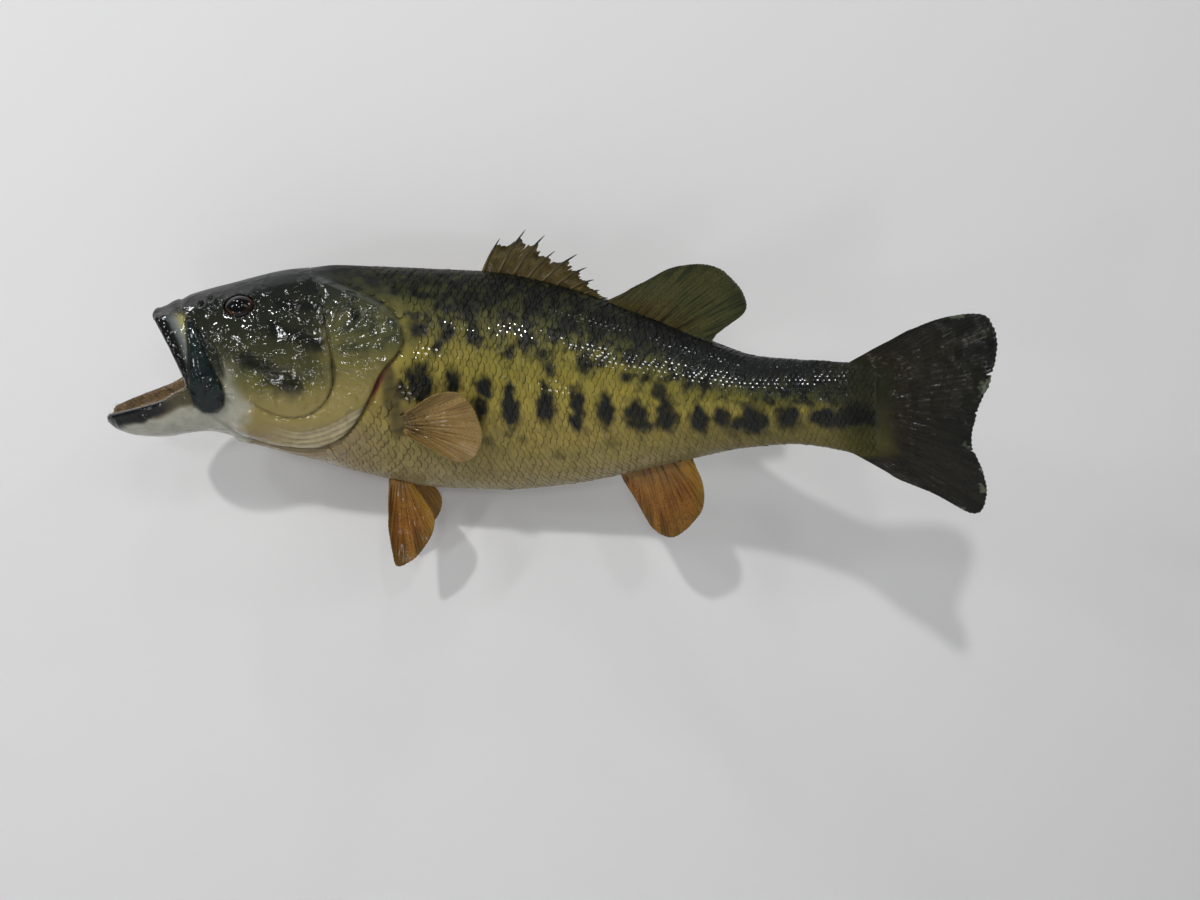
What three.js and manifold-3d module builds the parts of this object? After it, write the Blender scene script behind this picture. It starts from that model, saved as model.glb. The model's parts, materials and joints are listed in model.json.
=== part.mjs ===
// A mounted largemouth bass, life size, mouth open and tail swung out, hung by a bevelled wood block.
//
// Millimetres, +Z up. The wall is the plane y = 0 and the fish hangs on its -Y side, head towards -X.
// The origin is the middle of the block's back face.
//
// The fish is first shaped straight: x runs back from the snout, y runs towards the wall, so the
// shown left side is -y, and z is up. The function hang() then rolls that straight fish, bends it
// along its spine and sets it in front of the wall.

import * as THREE from 'three';
import { mergeVertices } from 'three/addons/utils/BufferGeometryUtils.js';
import Module from 'manifold-3d';

const wasm = await Module();
wasm.setup();

// ---- driving dimensions ----

// Clearance between solids that touch, the seat of a plate over the rounded flank, and that of a
// fin on the back or belly.
const GAP = 0.35;
const SEAT = 0.8;
const FIN_SEAT = 0.5;
const LEFT = -1;
const RIGHT = 1;

// Stations along the straight fish, from the snout.
const SNOUT = 7;
const NECK = 112;
const STALK = 368;
const TAIL_ROOT = 458;
const EYE = { x: 57.5, z: 51.8, radius: 9.9, proud: 3.6 };

// How the mount is posed: spine angle at the head and at the tail, roll, and distance from the wall.
const HEAD_SWING = THREE.MathUtils.degToRad(12);
const TAIL_SWING = THREE.MathUtils.degToRad(-44);
const BEND_START = 110;
const BEND_END = 352;
const ROLL = THREE.MathUtils.degToRad(10);
const ANCHOR = { station: 200, x: 10, y: -60, z: -16 };

// The wood block that the fish hangs by.
const BLOCK = { width: 72, height: 40, depth: 36 };

// ---- small helpers ----

// A smooth curve through a few [station, value] guides, without overshoot.
function guide(points) {
  const slopes = points.map((point, i) => {
    if (i === 0 || i === points.length - 1) return 0;
    const before = (point[1] - points[i - 1][1]) / (point[0] - points[i - 1][0]);
    const after = (points[i + 1][1] - point[1]) / (points[i + 1][0] - point[0]);
    return before * after <= 0 ? 0 : (2 * before * after) / (before + after);
  });
  slopes[0] = (points[1][1] - points[0][1]) / (points[1][0] - points[0][0]);
  const last = points.length - 1;
  slopes[last] = (points[last][1] - points[last - 1][1]) / (points[last][0] - points[last - 1][0]);
  return (station) => {
    let i = 0;
    while (i < last - 1 && station > points[i + 1][0]) i += 1;
    const span = points[i + 1][0] - points[i][0];
    const w = THREE.MathUtils.clamp((station - points[i][0]) / span, 0, 1);
    const rise = points[i + 1][1] - points[i][1];
    const ease = w * w * (3 - 2 * w);
    const lead = w * (1 - w) * (1 - w) * slopes[i] * span;
    const trail = w * w * (w - 1) * slopes[i + 1] * span;
    return points[i][1] + rise * ease + lead + trail;
  };
}

function signedPower(value, power) {
  return Math.sign(value) * Math.abs(value) ** power;
}

// Moves every vertex of a geometry.
function warp(geometry, move) {
  const position = geometry.getAttribute('position');
  const point = new THREE.Vector3();
  for (let i = 0; i < position.count; i += 1) {
    point.fromBufferAttribute(position, i);
    const moved = move(point);
    position.setXYZ(i, moved.x, moved.y, moved.z);
  }
  return geometry;
}

// Welds a geometry into one closed shell whose faces point out.
function weld(geometry) {
  const bare = geometry.clone();
  bare.deleteAttribute('normal');
  bare.deleteAttribute('uv');
  const merged = mergeVertices(bare, 1e-3);
  const position = merged.getAttribute('position');
  const a = new THREE.Vector3();
  const b = new THREE.Vector3();
  const c = new THREE.Vector3();
  const kept = [];
  let volume = 0;
  for (let i = 0; i < merged.index.count; i += 3) {
    const corners = [0, 1, 2].map((k) => merged.index.getX(i + k));
    if (new Set(corners).size < 3) continue;
    a.fromBufferAttribute(position, corners[0]);
    b.fromBufferAttribute(position, corners[1]);
    c.fromBufferAttribute(position, corners[2]);
    volume += a.dot(b.cross(c));
    kept.push(corners);
  }
  const order = volume < 0 ? kept.map(([p, q, r]) => [p, r, q]) : kept;
  merged.setIndex(order.flat());
  return merged;
}

function toSolid(geometry) {
  const shell = weld(geometry);
  const vertProperties = new Float32Array(shell.getAttribute('position').array);
  const triVerts = new Uint32Array(shell.index.array);
  return new wasm.Manifold(new wasm.Mesh({ numProp: 3, vertProperties, triVerts }));
}

function toGeometry(solid) {
  const mesh = solid.getMesh();
  const geometry = new THREE.BufferGeometry();
  const points = new Float32Array(mesh.vertProperties);
  geometry.setAttribute('position', new THREE.BufferAttribute(points, 3));
  geometry.setIndex(Array.from(mesh.triVerts));
  return geometry;
}

// A closed tube of cross-sections between two stations.
function loft(from, to, along, around, section) {
  const tube = new THREE.CylinderGeometry(1, 1, 1, around, along);
  return warp(tube, (p) => {
    const station = THREE.MathUtils.lerp(from, to, p.y + 0.5);
    return section(station, Math.atan2(p.z, p.x), Math.hypot(p.x, p.z));
  });
}

// A side-view outline of [x, z] corners, pushed right through the fish.
function throughCut(corners) {
  const shape = new THREE.Shape(corners.map(([x, z]) => new THREE.Vector2(x, z)));
  const depth = 160;
  const block = new THREE.ExtrudeGeometry(shape, { depth, bevelEnabled: false });
  return warp(block, (p) => new THREE.Vector3(p.x, p.z - depth / 2, p.y));
}

// ---- the pose ----

function spineTurn(station) {
  const t = THREE.MathUtils.smoothstep(station, BEND_START, BEND_END);
  return THREE.MathUtils.lerp(HEAD_SWING, TAIL_SWING, t);
}

// The spine in plan, walked in short steps both ways from the anchor station.
const SPINE_STEP = 1;
const SPINE_FROM = -60;
const SPINE_TO = 560;

function walkSpine() {
  const walked = [];
  let x = 0;
  let y = 0;
  for (let station = SPINE_FROM; station <= SPINE_TO; station += SPINE_STEP) {
    walked.push([x, y]);
    const turn = spineTurn(station + SPINE_STEP / 2);
    x += SPINE_STEP * Math.cos(turn);
    y += SPINE_STEP * Math.sin(turn);
  }
  const [anchorX, anchorY] = walked[ANCHOR.station - SPINE_FROM];
  return walked.map(([px, py]) => [px - anchorX + ANCHOR.x, py - anchorY + ANCHOR.y]);
}

const SPINE = walkSpine();

// Rolls and bends a point of the straight fish into its place in front of the wall.
function hang(p) {
  const reach = (p.x - SPINE_FROM) / SPINE_STEP;
  const i = THREE.MathUtils.clamp(Math.floor(reach), 0, SPINE.length - 2);
  const w = reach - i;
  const x = THREE.MathUtils.lerp(SPINE[i][0], SPINE[i + 1][0], w);
  const y = THREE.MathUtils.lerp(SPINE[i][1], SPINE[i + 1][1], w);
  const turn = spineTurn(p.x);
  const out = p.z * Math.sin(ROLL) - p.y * Math.cos(ROLL);
  const up = p.z * Math.cos(ROLL) + p.y * Math.sin(ROLL);
  return new THREE.Vector3(x + out * Math.sin(turn), y - out * Math.cos(turn), up + ANCHOR.z);
}

// ---- the body's form ----

const back = guide([
  [4, 36], [8, 44], [17, 50.5], [28, 55.5], [50, 62.5], [90, 73], [130, 76],
  [210, 74], [250, 67.5], [330, 42.5], [370, 27.5], [400, 18.8], [460, 15.5],
]);
const belly = guide([
  [4, 30], [12, -5], [30, -28], [50, -34], [100, -51], [140, -63.5],
  [175, -71.5], [220, -73.8], [255, -70], [350, -46], [390, -36], [425, -32], [460, -36],
]);
const girth = guide([
  [4, 8], [10, 20], [20, 28], [35, 34], [55, 37.5], [110, 41.5], [150, 44],
  [190, 45.5], [235, 42.5], [280, 36.5], [330, 27.5], [380, 18], [420, 11.5], [460, 5.5],
]);
const middle = guide([[4, 34], [20, 24], [60, 12], [120, 4], [300, -1], [460, -10]]);
// How square the section is above its middle: squarest between the eyes.
const crown = guide([[4, 2.1], [40, 2.4], [70, 2.4], [130, 1.95], [460, 1.9]]);
const KEEL = 2.1;

// The half width of the body at a height.
function flank(station, z) {
  const centre = middle(station);
  const above = z > centre;
  const power = above ? crown(station) : KEEL;
  const rise = above ? back(station) - centre : centre - belly(station);
  const level = Math.min(Math.abs(z - centre) / rise, 1);
  return girth(station) * (1 - level ** power) ** (1 / power);
}

function bodySection(station, angle, reach) {
  const c = Math.cos(angle);
  const s = Math.sin(angle);
  const power = 2 / (s > 0 ? crown(station) : KEEL);
  const centre = middle(station);
  const rise = s > 0 ? back(station) - centre : centre - belly(station);
  return new THREE.Vector3(
    station,
    girth(station) * signedPower(c, power) * reach,
    centre + rise * signedPower(s, power) * reach,
  );
}

// ---- jaws and mouth ----

const LIP = { top: 43.5, corner: 4.6, front: 7, sweep: 19.5 };

// The station of the upper lip's edge at a height.
function lipStation(z) {
  const drop = THREE.MathUtils.clamp((LIP.top - z) / (LIP.top - LIP.corner), 0, 1);
  return LIP.front + LIP.sweep * drop ** 0.62;
}

const JAW = { front: -22, back: 57.6, width: 32, wall: 4.5 };
const jawLip = guide([[-22, -16], [-9, -10.5], [12, -3], [26, 4.4], [47, 1.9], [57.6, -9]]);
const jawBase = guide([[-22, -19], [-14, -26.5], [-4, -29.5], [9, -30.4], [34, -27.5], [57.6, -34]]);

function jawWidth(station) {
  const u = THREE.MathUtils.clamp((station - JAW.front) / (JAW.back - JAW.front), 0, 1);
  return 2 + (JAW.width - 2) * Math.sqrt(1 - (1 - u) ** 2.5);
}

// The half width of the lower jaw's outside at a height.
function jawFlank(station, z) {
  const level = (jawLip(station) - z) / (jawLip(station) - jawBase(station));
  return jawWidth(station) * (1 - THREE.MathUtils.clamp(level, 0, 1) ** 2.6) ** (1 / 2.6);
}

// A U-shaped section: a flat lip on top and a round floor. An inset shrinks it for the trough and
// a negative one swells it, while the lip always rises by a little.
function jawSection(inset) {
  return (station, angle, reach) => {
    const c = Math.cos(angle);
    const s = Math.sin(angle);
    const width = Math.max(jawWidth(station) - inset, 0.5);
    const top = jawLip(station) + Math.abs(inset);
    const base = jawBase(station) + inset * 1.1;
    const depth = s > 0 ? 0 : (top - base) * signedPower(-s, 2 / 2.6);
    const side = width * signedPower(c, s > 0 ? 1 : 2 / 2.6);
    return new THREE.Vector3(station, side * reach, top - depth * reach);
  };
}

// The open mouth, seen from the side: everything ahead of the upper lip and above the jaw's hinge.
function gape(shift, floor) {
  const steps = 9;
  const corners = [[-60, 70], [LIP.front + shift, 70]];
  for (let i = 0; i <= steps; i += 1) {
    const z = THREE.MathUtils.lerp(LIP.top, LIP.corner, i / steps);
    corners.push([lipStation(z) + shift, z]);
  }
  corners.push(...floor, [-60, -60]);
  return corners;
}

const MOUTH_CAVITY = {
  half: guide([[-40, 16], [7, 12], [14, 18.5], [20, 22.5], [28, 25.5], [40, 26], [60, 21], [84, 8]]),
  roof: guide([[-40, 34], [7, 34], [14, 38.5], [24, 41], [35, 38], [60, 27], [84, 10]]),
  floor: guide([[-40, -22], [45, -22], [62, -20], [84, -6]]),
};

function cavitySection(station, angle, reach) {
  const top = MOUTH_CAVITY.roof(station);
  const base = MOUTH_CAVITY.floor(station);
  const power = 2 / 2.4;
  return new THREE.Vector3(
    station,
    MOUTH_CAVITY.half(station) * signedPower(Math.cos(angle), power) * reach,
    (top + base) / 2 + ((top - base) / 2) * signedPower(Math.sin(angle), power) * reach,
  );
}

// ---- the head ----

function eyeCentre(side) {
  return new THREE.Vector3(EYE.x, side * (flank(EYE.x, EYE.z) + EYE.proud - EYE.radius), EYE.z);
}

function eyeBall(side, extra, rows, columns) {
  const centre = eyeCentre(side);
  const ball = new THREE.SphereGeometry(EYE.radius + extra, columns, rows);
  return ball.rotateX(Math.PI / 2).translate(centre.x, centre.y, centre.z);
}

function makeHeadSolids() {
  const face = toSolid(loft(SNOUT, NECK, 24, 28, bodySection));
  const hinge = [[46.5, 2.4], [57.4, -8.2], [59, -20], [56, -60]];
  const openMouth = toSolid(throughCut(gape(0, hinge)));
  const cavity = toSolid(loft(-40, 84, 14, 16, cavitySection));
  const jawRoom = toSolid(loft(JAW.front, JAW.back - 1 + GAP, 15, 20, jawSection(-1.4 * GAP)));
  let hollow = face.subtract(openMouth).subtract(cavity).subtract(jawRoom);
  for (const side of [LEFT, RIGHT]) {
    hollow = hollow.subtract(toSolid(eyeBall(side, GAP, 8, 12)));
  }
  const lipWidth = 9;
  const lipRear = [[LIP.front + LIP.sweep + lipWidth, -60]];
  const lipCut = toSolid(throughCut(gape(lipWidth, lipRear)));
  const headCut = toSolid(throughCut(gape(lipWidth + GAP, lipRear)));
  return { head: hollow.subtract(headCut), upperJaw: hollow.intersect(lipCut) };
}

function makeLowerJaw() {
  const outside = toSolid(loft(JAW.front, JAW.back - 1, 15, 20, jawSection(0)));
  const trough = toSolid(loft(JAW.front + JAW.wall, JAW.back + 6, 12, 16, jawSection(JAW.wall)));
  return toGeometry(outside.subtract(trough));
}

// ---- plates that lie on the flank ----

// A curved plate over the left or right flank. The outline turns (a, b), both 0 to 1, into [x, z].
function flankPlate(side, across, along, outline, thick, under) {
  const sheet = new THREE.BoxGeometry(1, 1, 1, across, along, 1);
  return warp(sheet, (p) => {
    const a = p.x + 0.5;
    const b = p.y + 0.5;
    const [x, z] = outline(a, b);
    const cover = p.z > 0 ? thick(a, b) : 0;
    return new THREE.Vector3(x, side * (under(x, z) + SEAT + cover), z);
  });
}

// The gill cover is laid out around a hub on the cheek, as radii at angles from the tail direction.
const GILL = { hubX: 88, hubZ: 24, low: -112, high: 66, lobe: 12, radius: 47.5, point: 19 };

function gillInner(angle) {
  const above = 17.5 * (Math.max(angle, 0) / 67) ** 3.3;
  const below = 17.8 * THREE.MathUtils.smoothstep(-angle, 0, 105);
  return 19.5 + above + below;
}

function gillOuter(angle) {
  const spread = angle > GILL.lobe ? 30 : 15;
  const lobe = GILL.point * Math.exp(-(((angle - GILL.lobe) / spread) ** 2));
  const fold = 12 * THREE.MathUtils.smoothstep(-angle, 30, 85);
  return GILL.radius + lobe + fold;
}

function gillOutline(a, b) {
  const angle = THREE.MathUtils.lerp(GILL.low, GILL.high, a);
  const radius = THREE.MathUtils.lerp(gillInner(angle), gillOuter(angle), b);
  const turn = THREE.MathUtils.degToRad(angle);
  return [GILL.hubX + radius * Math.cos(turn), GILL.hubZ + radius * Math.sin(turn)];
}

function gillThickness(a, b) {
  const swell = Math.sin(Math.PI * THREE.MathUtils.clamp(b, 0.02, 0.98)) ** 0.5;
  const fade = Math.sin(Math.PI * THREE.MathUtils.clamp(a, 0.04, 0.96)) ** 0.4;
  return 0.9 + 2.6 * swell * fade;
}

// The maxilla is the paddle that hangs beside the open mouth.
const paddleCentre = guide([[0, 30.5], [0.25, 33], [0.5, 35], [0.75, 37.2], [1, 38]]);
const paddleHalf = guide([[0, 2.2], [0.3, 4.2], [0.55, 7.4], [0.75, 9.2], [0.9, 8], [1, 3.6]]);
const PADDLE = { top: 44, bottom: -9.5 };

function paddleOutline(a, b) {
  const x = paddleCentre(b) + (2 * a - 1) * paddleHalf(b);
  return [x, THREE.MathUtils.lerp(PADDLE.top, PADDLE.bottom, b)];
}

function paddleThickness(a, b) {
  const swell = Math.sqrt(Math.sin(Math.PI * THREE.MathUtils.clamp(a, 0.05, 0.95)));
  return (0.9 + 2.2 * swell) * (0.6 + 0.4 * b);
}

function besideMouth(x, z) {
  const jaw = z < jawLip(x) && z > jawBase(x) ? jawFlank(x, z) : 0;
  return Math.max(flank(x, z), jaw);
}

// ---- fins ----

// A fin is a thin blade, ribbed by its rays. at(u, v) gives its middle surface, with u across the
// rays and v from the root to the outer edge, and sway(u, v) bows it sideways.
function blade({ rays, rows, at, rootThick, edgeThick, sway }) {
  const sheet = new THREE.BoxGeometry(1, 1, 1, rays * 2, rows, 1);
  return warp(sheet, (p) => {
    const u = p.x + 0.5;
    const v = p.y + 0.5;
    const ray = Math.round(u * rays * 2) % 2 === 1 ? 1 : 0.55;
    const thick = THREE.MathUtils.lerp(rootThick, edgeThick, v) * ray;
    const shift = sway(u, v) + p.z * thick;
    const point = at(u, v);
    point.y += shift;
    return point;
  });
}

function rootToEdge(root, edge) {
  return (u, v) => root(u).lerp(edge(u), v);
}

function edgeCurve(points) {
  const curve = new THREE.CatmullRomCurve3(points.map(([x, y, z]) => new THREE.Vector3(x, y, z)));
  return (u) => curve.getPointAt(THREE.MathUtils.clamp(u, 0, 1));
}

// The spiny dorsal fin: stiff spines laid back, with a torn web between them.
const SPINES = { first: 209, pitch: 10.3, lengths: [24, 34, 35, 27, 32, 26, 19, 12, 7] };
const WEB_DEPTH = [0.72, 0.62, 0.66, 0.62, 0.66, 0.66, 0.7, 0.72];

function spineLean(index) {
  return THREE.MathUtils.degToRad(57 - 6.9 * index);
}

function spinyEdge(u) {
  const spot = u * (SPINES.lengths.length - 1);
  const index = Math.min(Math.floor(spot), SPINES.lengths.length - 2);
  const gap = spot - index;
  const length = THREE.MathUtils.lerp(SPINES.lengths[index], SPINES.lengths[index + 1], gap);
  const notch = 1 - (1 - WEB_DEPTH[index]) * Math.sin(Math.PI * gap) ** 0.7;
  return { length: length * notch, lean: spineLean(spot) };
}

function makeSpinyDorsal() {
  const gaps = SPINES.lengths.length - 1;
  const sheet = new THREE.BoxGeometry(1, 1, 1, gaps * 4, 2, 1);
  return warp(sheet, (p) => {
    const u = p.x + 0.5;
    const v = p.y + 0.5;
    const station = SPINES.first + SPINES.pitch * gaps * u;
    const { length, lean } = spinyEdge(u);
    const onSpine = Math.round(u * gaps * 4) % 4 === 0;
    const thick = onSpine ? 2.4 - 1.5 * v : 0.7;
    return new THREE.Vector3(
      station + length * v * Math.cos(lean),
      p.z * thick,
      back(station) + GAP + length * v * Math.sin(lean),
    );
  });
}

function alongBack(from, to) {
  return (u) => {
    const station = THREE.MathUtils.lerp(from, to, u);
    return new THREE.Vector3(station, 0, back(station) + FIN_SEAT);
  };
}

function alongBelly(from, to) {
  return (u) => {
    const station = THREE.MathUtils.lerp(from, to, u);
    return new THREE.Vector3(station, 0, belly(station) - FIN_SEAT);
  };
}

function makeSoftDorsal() {
  return blade({
    rays: 9,
    rows: 4,
    at: rootToEdge(alongBack(300, 370), edgeCurve([
      [302, 0, 56.5], [322, 0, 61.8], [347, 0, 71.2], [374, 0, 70], [390, 0, 57], [393, 0, 45],
      [383, 0, 37], [372, 0, 31.5],
    ])),
    rootThick: 4,
    edgeThick: 1.1,
    sway: (u, v) => 3 * v * v * Math.sin(Math.PI * u),
  });
}

function makeAnalFin() {
  return blade({
    rays: 8,
    rows: 4,
    at: rootToEdge(alongBelly(297, 350), edgeCurve([
      [299, 0, -64.5], [308, 0, -78], [320, 0, -95.5], [333, 0, -99], [346, 0, -90.5],
      [356.5, 0, -78], [357.5, 0, -62], [352, 0, -49.5],
    ])),
    rootThick: 4,
    edgeThick: 1.1,
    sway: (u, v) => -4 * v * v * Math.sin(Math.PI * u),
  });
}

function makeCaudalFin() {
  const root = (u) => {
    const z = THREE.MathUtils.lerp(15, -35, u);
    return new THREE.Vector3(TAIL_ROOT + GAP + 3.5 * Math.sin(Math.PI * u), 0, z);
  };
  return blade({
    rays: 16,
    rows: 5,
    at: rootToEdge(root, edgeCurve([
      [462, 0, 19], [484, 0, 32], [504, 0, 38.5], [520, 0, 38.3], [525.5, 0, 27], [523.5, 0, 8],
      [517.5, 0, -11], [515, 0, -24], [520.5, 0, -40], [522.5, 0, -51], [516.5, 0, -63],
      [496, 0, -55], [478, 0, -47.5], [462, 0, -40],
    ])),
    rootThick: 9.5,
    edgeThick: 1.2,
    sway: (u, v) => 3 * v * Math.sin(3 * Math.PI * u),
  });
}

// The shown pectoral fin stands off the flank; the one by the wall is laid down and back.
const PECTORAL = { x: 150, z: -16, root: 12 };
const PECTORAL_EDGE = [
  [160, -2], [169, 3], [181, 6.6], [195, 7], [208, -1], [215.5, -16], [215, -27],
  [208, -35.5], [197, -38.5], [184, -35], [170, -28], [160, -23.5],
];

function makePectoral(side, { lift, droop }) {
  const edge = edgeCurve(PECTORAL_EDGE.map(([x, z]) => [x, 0, z]));
  const hub = new THREE.Vector3(PECTORAL.x, 0, PECTORAL.z);
  const rootFlank = flank(PECTORAL.x, PECTORAL.z);
  const across = new THREE.Vector3(0, 1, 0);
  return blade({
    rays: 9,
    rows: 4,
    at: (u, v) => {
      const root = new THREE.Vector3(PECTORAL.x + 2 * u, 0, PECTORAL.z + PECTORAL.root * (0.5 - u));
      const point = root.lerp(edge(u), v).sub(hub);
      point.applyAxisAngle(across, THREE.MathUtils.degToRad(droop)).add(hub);
      const skin = flank(point.x, point.z);
      const stand = Math.max(skin, (skin + rootFlank) / 2) + 2.6 + lift * v ** 1.2;
      return new THREE.Vector3(point.x, side * stand, point.z);
    },
    rootThick: 4,
    edgeThick: 1,
    sway: (u, v) => -side * 1.2 * v * Math.sin(Math.PI * u),
  });
}

// The underside of the body at a distance from its middle.
function keelHeight(station, y) {
  const level = 1 - Math.min(Math.abs(y) / girth(station), 1) ** KEEL;
  return middle(station) - (middle(station) - belly(station)) * level ** (1 / KEEL);
}

function makePelvic(side, { shift, spread }) {
  const inward = 12;
  const edge = edgeCurve([
    [141.5, 0, -78], [141.3, 0, -95], [143.5, 0, -112], [146, 0, -121.5], [156, 0, -118],
    [165, 0, -108], [171, 0, -97], [171.5, 0, -86], [167, 0, -77.5],
  ]);
  return blade({
    rays: 7,
    rows: 4,
    at: (u, v) => {
      const x = 143 + 14 * u;
      const root = new THREE.Vector3(x, 0, keelHeight(x + shift, inward) - 1.2);
      const point = root.lerp(edge(u), v);
      return new THREE.Vector3(point.x + shift, side * (inward + spread * v), point.z);
    },
    rootThick: 4,
    edgeThick: 1,
    sway: (u, v) => side * 1.5 * v * Math.sin(Math.PI * u),
  });
}

// ---- the wood block ----

// A prism whose lower edge is bevelled at 45 degrees to hook over a cleat on the wall.
function makeBlock(extra) {
  const halfHeight = BLOCK.height / 2;
  const shape = new THREE.Shape([
    new THREE.Vector2(extra, halfHeight + extra),
    new THREE.Vector2(extra, -halfHeight - extra * 2.4),
    new THREE.Vector2(-BLOCK.depth - extra, BLOCK.depth - halfHeight - extra * 1.4),
    new THREE.Vector2(-BLOCK.depth - extra, halfHeight + extra),
  ]);
  const depth = BLOCK.width + 2 * extra;
  const prism = new THREE.ExtrudeGeometry(shape, { depth, bevelEnabled: false });
  return warp(prism, (p) => new THREE.Vector3(p.z - depth / 2, p.x, p.y));
}

// ---- the finished model ----

const COLOURS = {
  dark_skin: [0x2f342a, 0.35],
  flank_skin: [0x6a6635, 0.35],
  tail_skin: [0x4a4a2c, 0.35],
  cheek: [0x77754a, 0.3],
  pale_jaw: [0xb9b8a6, 0.35],
  maxilla: [0x26332f, 0.28],
  dark_fin: [0x3a3c2e, 0.45],
  amber_fin: [0x8d5c2c, 0.4],
  glass_eye: [0x2a1a0e, 0.06],
  wood: [0xb28c5e, 0.7],
};

const bass = new THREE.Group();

function add(name, finish, geometry) {
  const [color, roughness] = COLOURS[finish];
  const material = new THREE.MeshStandardMaterial({ color, roughness, metalness: 0 });
  const mesh = new THREE.Mesh(weld(geometry), material);
  mesh.name = name;
  bass.add(mesh);
}

function addHung(name, finish, geometry) {
  add(name, finish, warp(geometry, hang));
}

const { head, upperJaw } = makeHeadSolids();
addHung('head', 'dark_skin', toGeometry(head));
addHung('upper_jaw', 'pale_jaw', toGeometry(upperJaw));
addHung('lower_jaw', 'pale_jaw', makeLowerJaw());

for (const [side, hand] of [[LEFT, 'left'], [RIGHT, 'right']]) {
  addHung(`eye_${hand}`, 'glass_eye', eyeBall(side, 0, 8, 12));
  addHung(
    `maxilla_${hand}`,
    'maxilla',
    flankPlate(side, 4, 10, paddleOutline, paddleThickness, besideMouth),
  );
  addHung(
    `gill_cover_${hand}`,
    'cheek',
    flankPlate(side, 16, 5, gillOutline, gillThickness, flank),
  );
}

const trunk = toSolid(warp(loft(NECK + GAP, STALK, 26, 24, bodySection), hang));
add('trunk', 'flank_skin', toGeometry(trunk.subtract(toSolid(makeBlock(GAP)))));
addHung('tail_stalk', 'tail_skin', loft(STALK + GAP, TAIL_ROOT, 8, 20, bodySection));
addHung('caudal_fin', 'dark_fin', makeCaudalFin());
addHung('spiny_dorsal_fin', 'dark_fin', makeSpinyDorsal());
addHung('soft_dorsal_fin', 'dark_fin', makeSoftDorsal());
addHung('anal_fin', 'amber_fin', makeAnalFin());
addHung('pectoral_fin_left', 'amber_fin', makePectoral(LEFT, { lift: 13, droop: 0 }));
addHung('pectoral_fin_right', 'amber_fin', makePectoral(RIGHT, { lift: 2.5, droop: 38 }));
addHung('pelvic_fin_left', 'amber_fin', makePelvic(LEFT, { shift: 0, spread: 9 }));
addHung('pelvic_fin_right', 'amber_fin', makePelvic(RIGHT, { shift: 4, spread: 5 }));
add('mount_block', 'wood', makeBlock(0));

export default bass;
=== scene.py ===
# %% [markdown]
# # A mounted largemouth bass
# The real object is a fish skin pulled over a carved form, painted and flooded with varnish. It
# hangs on a wall with its mouth open and its tail swung out. The solid model gives the sizes and
# the places of its parts. This script grows the fine surface around it: one skin for all of the
# flesh, some thousands of scales, rayed fins, glass eyes and a block of wood.

# %% Load the frame and note its box
import json
import math

import bpy
import numpy as np
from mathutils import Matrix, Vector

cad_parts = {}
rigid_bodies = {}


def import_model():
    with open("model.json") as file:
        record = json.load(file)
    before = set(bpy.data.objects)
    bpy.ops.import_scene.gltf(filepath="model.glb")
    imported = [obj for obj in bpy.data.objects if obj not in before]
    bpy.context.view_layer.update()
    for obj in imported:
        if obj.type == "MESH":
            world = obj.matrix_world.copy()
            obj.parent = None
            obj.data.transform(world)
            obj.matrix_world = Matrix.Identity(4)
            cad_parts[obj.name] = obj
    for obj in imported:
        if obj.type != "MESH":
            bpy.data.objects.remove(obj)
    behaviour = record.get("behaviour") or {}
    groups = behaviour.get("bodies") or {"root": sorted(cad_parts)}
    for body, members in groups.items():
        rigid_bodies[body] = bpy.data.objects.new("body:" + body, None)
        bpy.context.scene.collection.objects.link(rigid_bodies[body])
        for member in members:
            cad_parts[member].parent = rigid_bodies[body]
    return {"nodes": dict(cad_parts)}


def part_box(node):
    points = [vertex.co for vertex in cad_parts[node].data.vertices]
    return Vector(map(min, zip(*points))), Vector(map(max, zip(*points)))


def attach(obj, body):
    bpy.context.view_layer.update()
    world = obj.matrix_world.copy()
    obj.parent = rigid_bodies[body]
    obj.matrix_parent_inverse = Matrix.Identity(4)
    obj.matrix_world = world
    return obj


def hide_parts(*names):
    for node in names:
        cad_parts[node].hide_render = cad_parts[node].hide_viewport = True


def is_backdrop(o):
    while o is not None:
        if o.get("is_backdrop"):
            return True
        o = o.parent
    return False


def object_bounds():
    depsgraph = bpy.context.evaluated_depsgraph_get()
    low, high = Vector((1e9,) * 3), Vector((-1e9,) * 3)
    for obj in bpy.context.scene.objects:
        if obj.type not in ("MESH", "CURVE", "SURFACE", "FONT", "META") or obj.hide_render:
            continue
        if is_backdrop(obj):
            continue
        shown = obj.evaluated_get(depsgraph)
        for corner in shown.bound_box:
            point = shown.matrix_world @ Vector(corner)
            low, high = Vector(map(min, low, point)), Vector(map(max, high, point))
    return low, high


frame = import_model()
cad_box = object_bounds()
MM = 0.001
LEFT, RIGHT = -1, 1
print("solid model:", len(frame["nodes"]), "nodes, spans", [round(v, 3) for v in cad_box[1] - cad_box[0]])

# %% [markdown]
# ## Camera
# The mount is seen from the front of the wall, a little from its head end and a little from
# above. A wide lens close to the wall makes the head and tail lean towards the viewer.

# %% Camera
camera_data = bpy.data.cameras.new("camera")
camera_data.sensor_width = 36.0
camera_data.lens = 25.8
camera = bpy.data.objects.new("camera", camera_data)
camera.location = (0.025, -0.643, 0.004)
camera.rotation_euler = (math.radians(90 - 6.44), 0.0, math.radians(-6.82))
bpy.context.scene.collection.objects.link(camera)
bpy.context.scene.camera = camera
print("camera", round(-camera.location.y, 3), "m in front of the wall")

# %% [markdown]
# ## The straight fish
# A bent, rolled fish is hard to draw, so everything is shaped on a straight one in millimetres:
# x is the station behind the snout, y points to the wall, so the shown left side is negative,
# and z is up. Curves through a few points, soft steps and bells draw nearly all of it.

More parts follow.
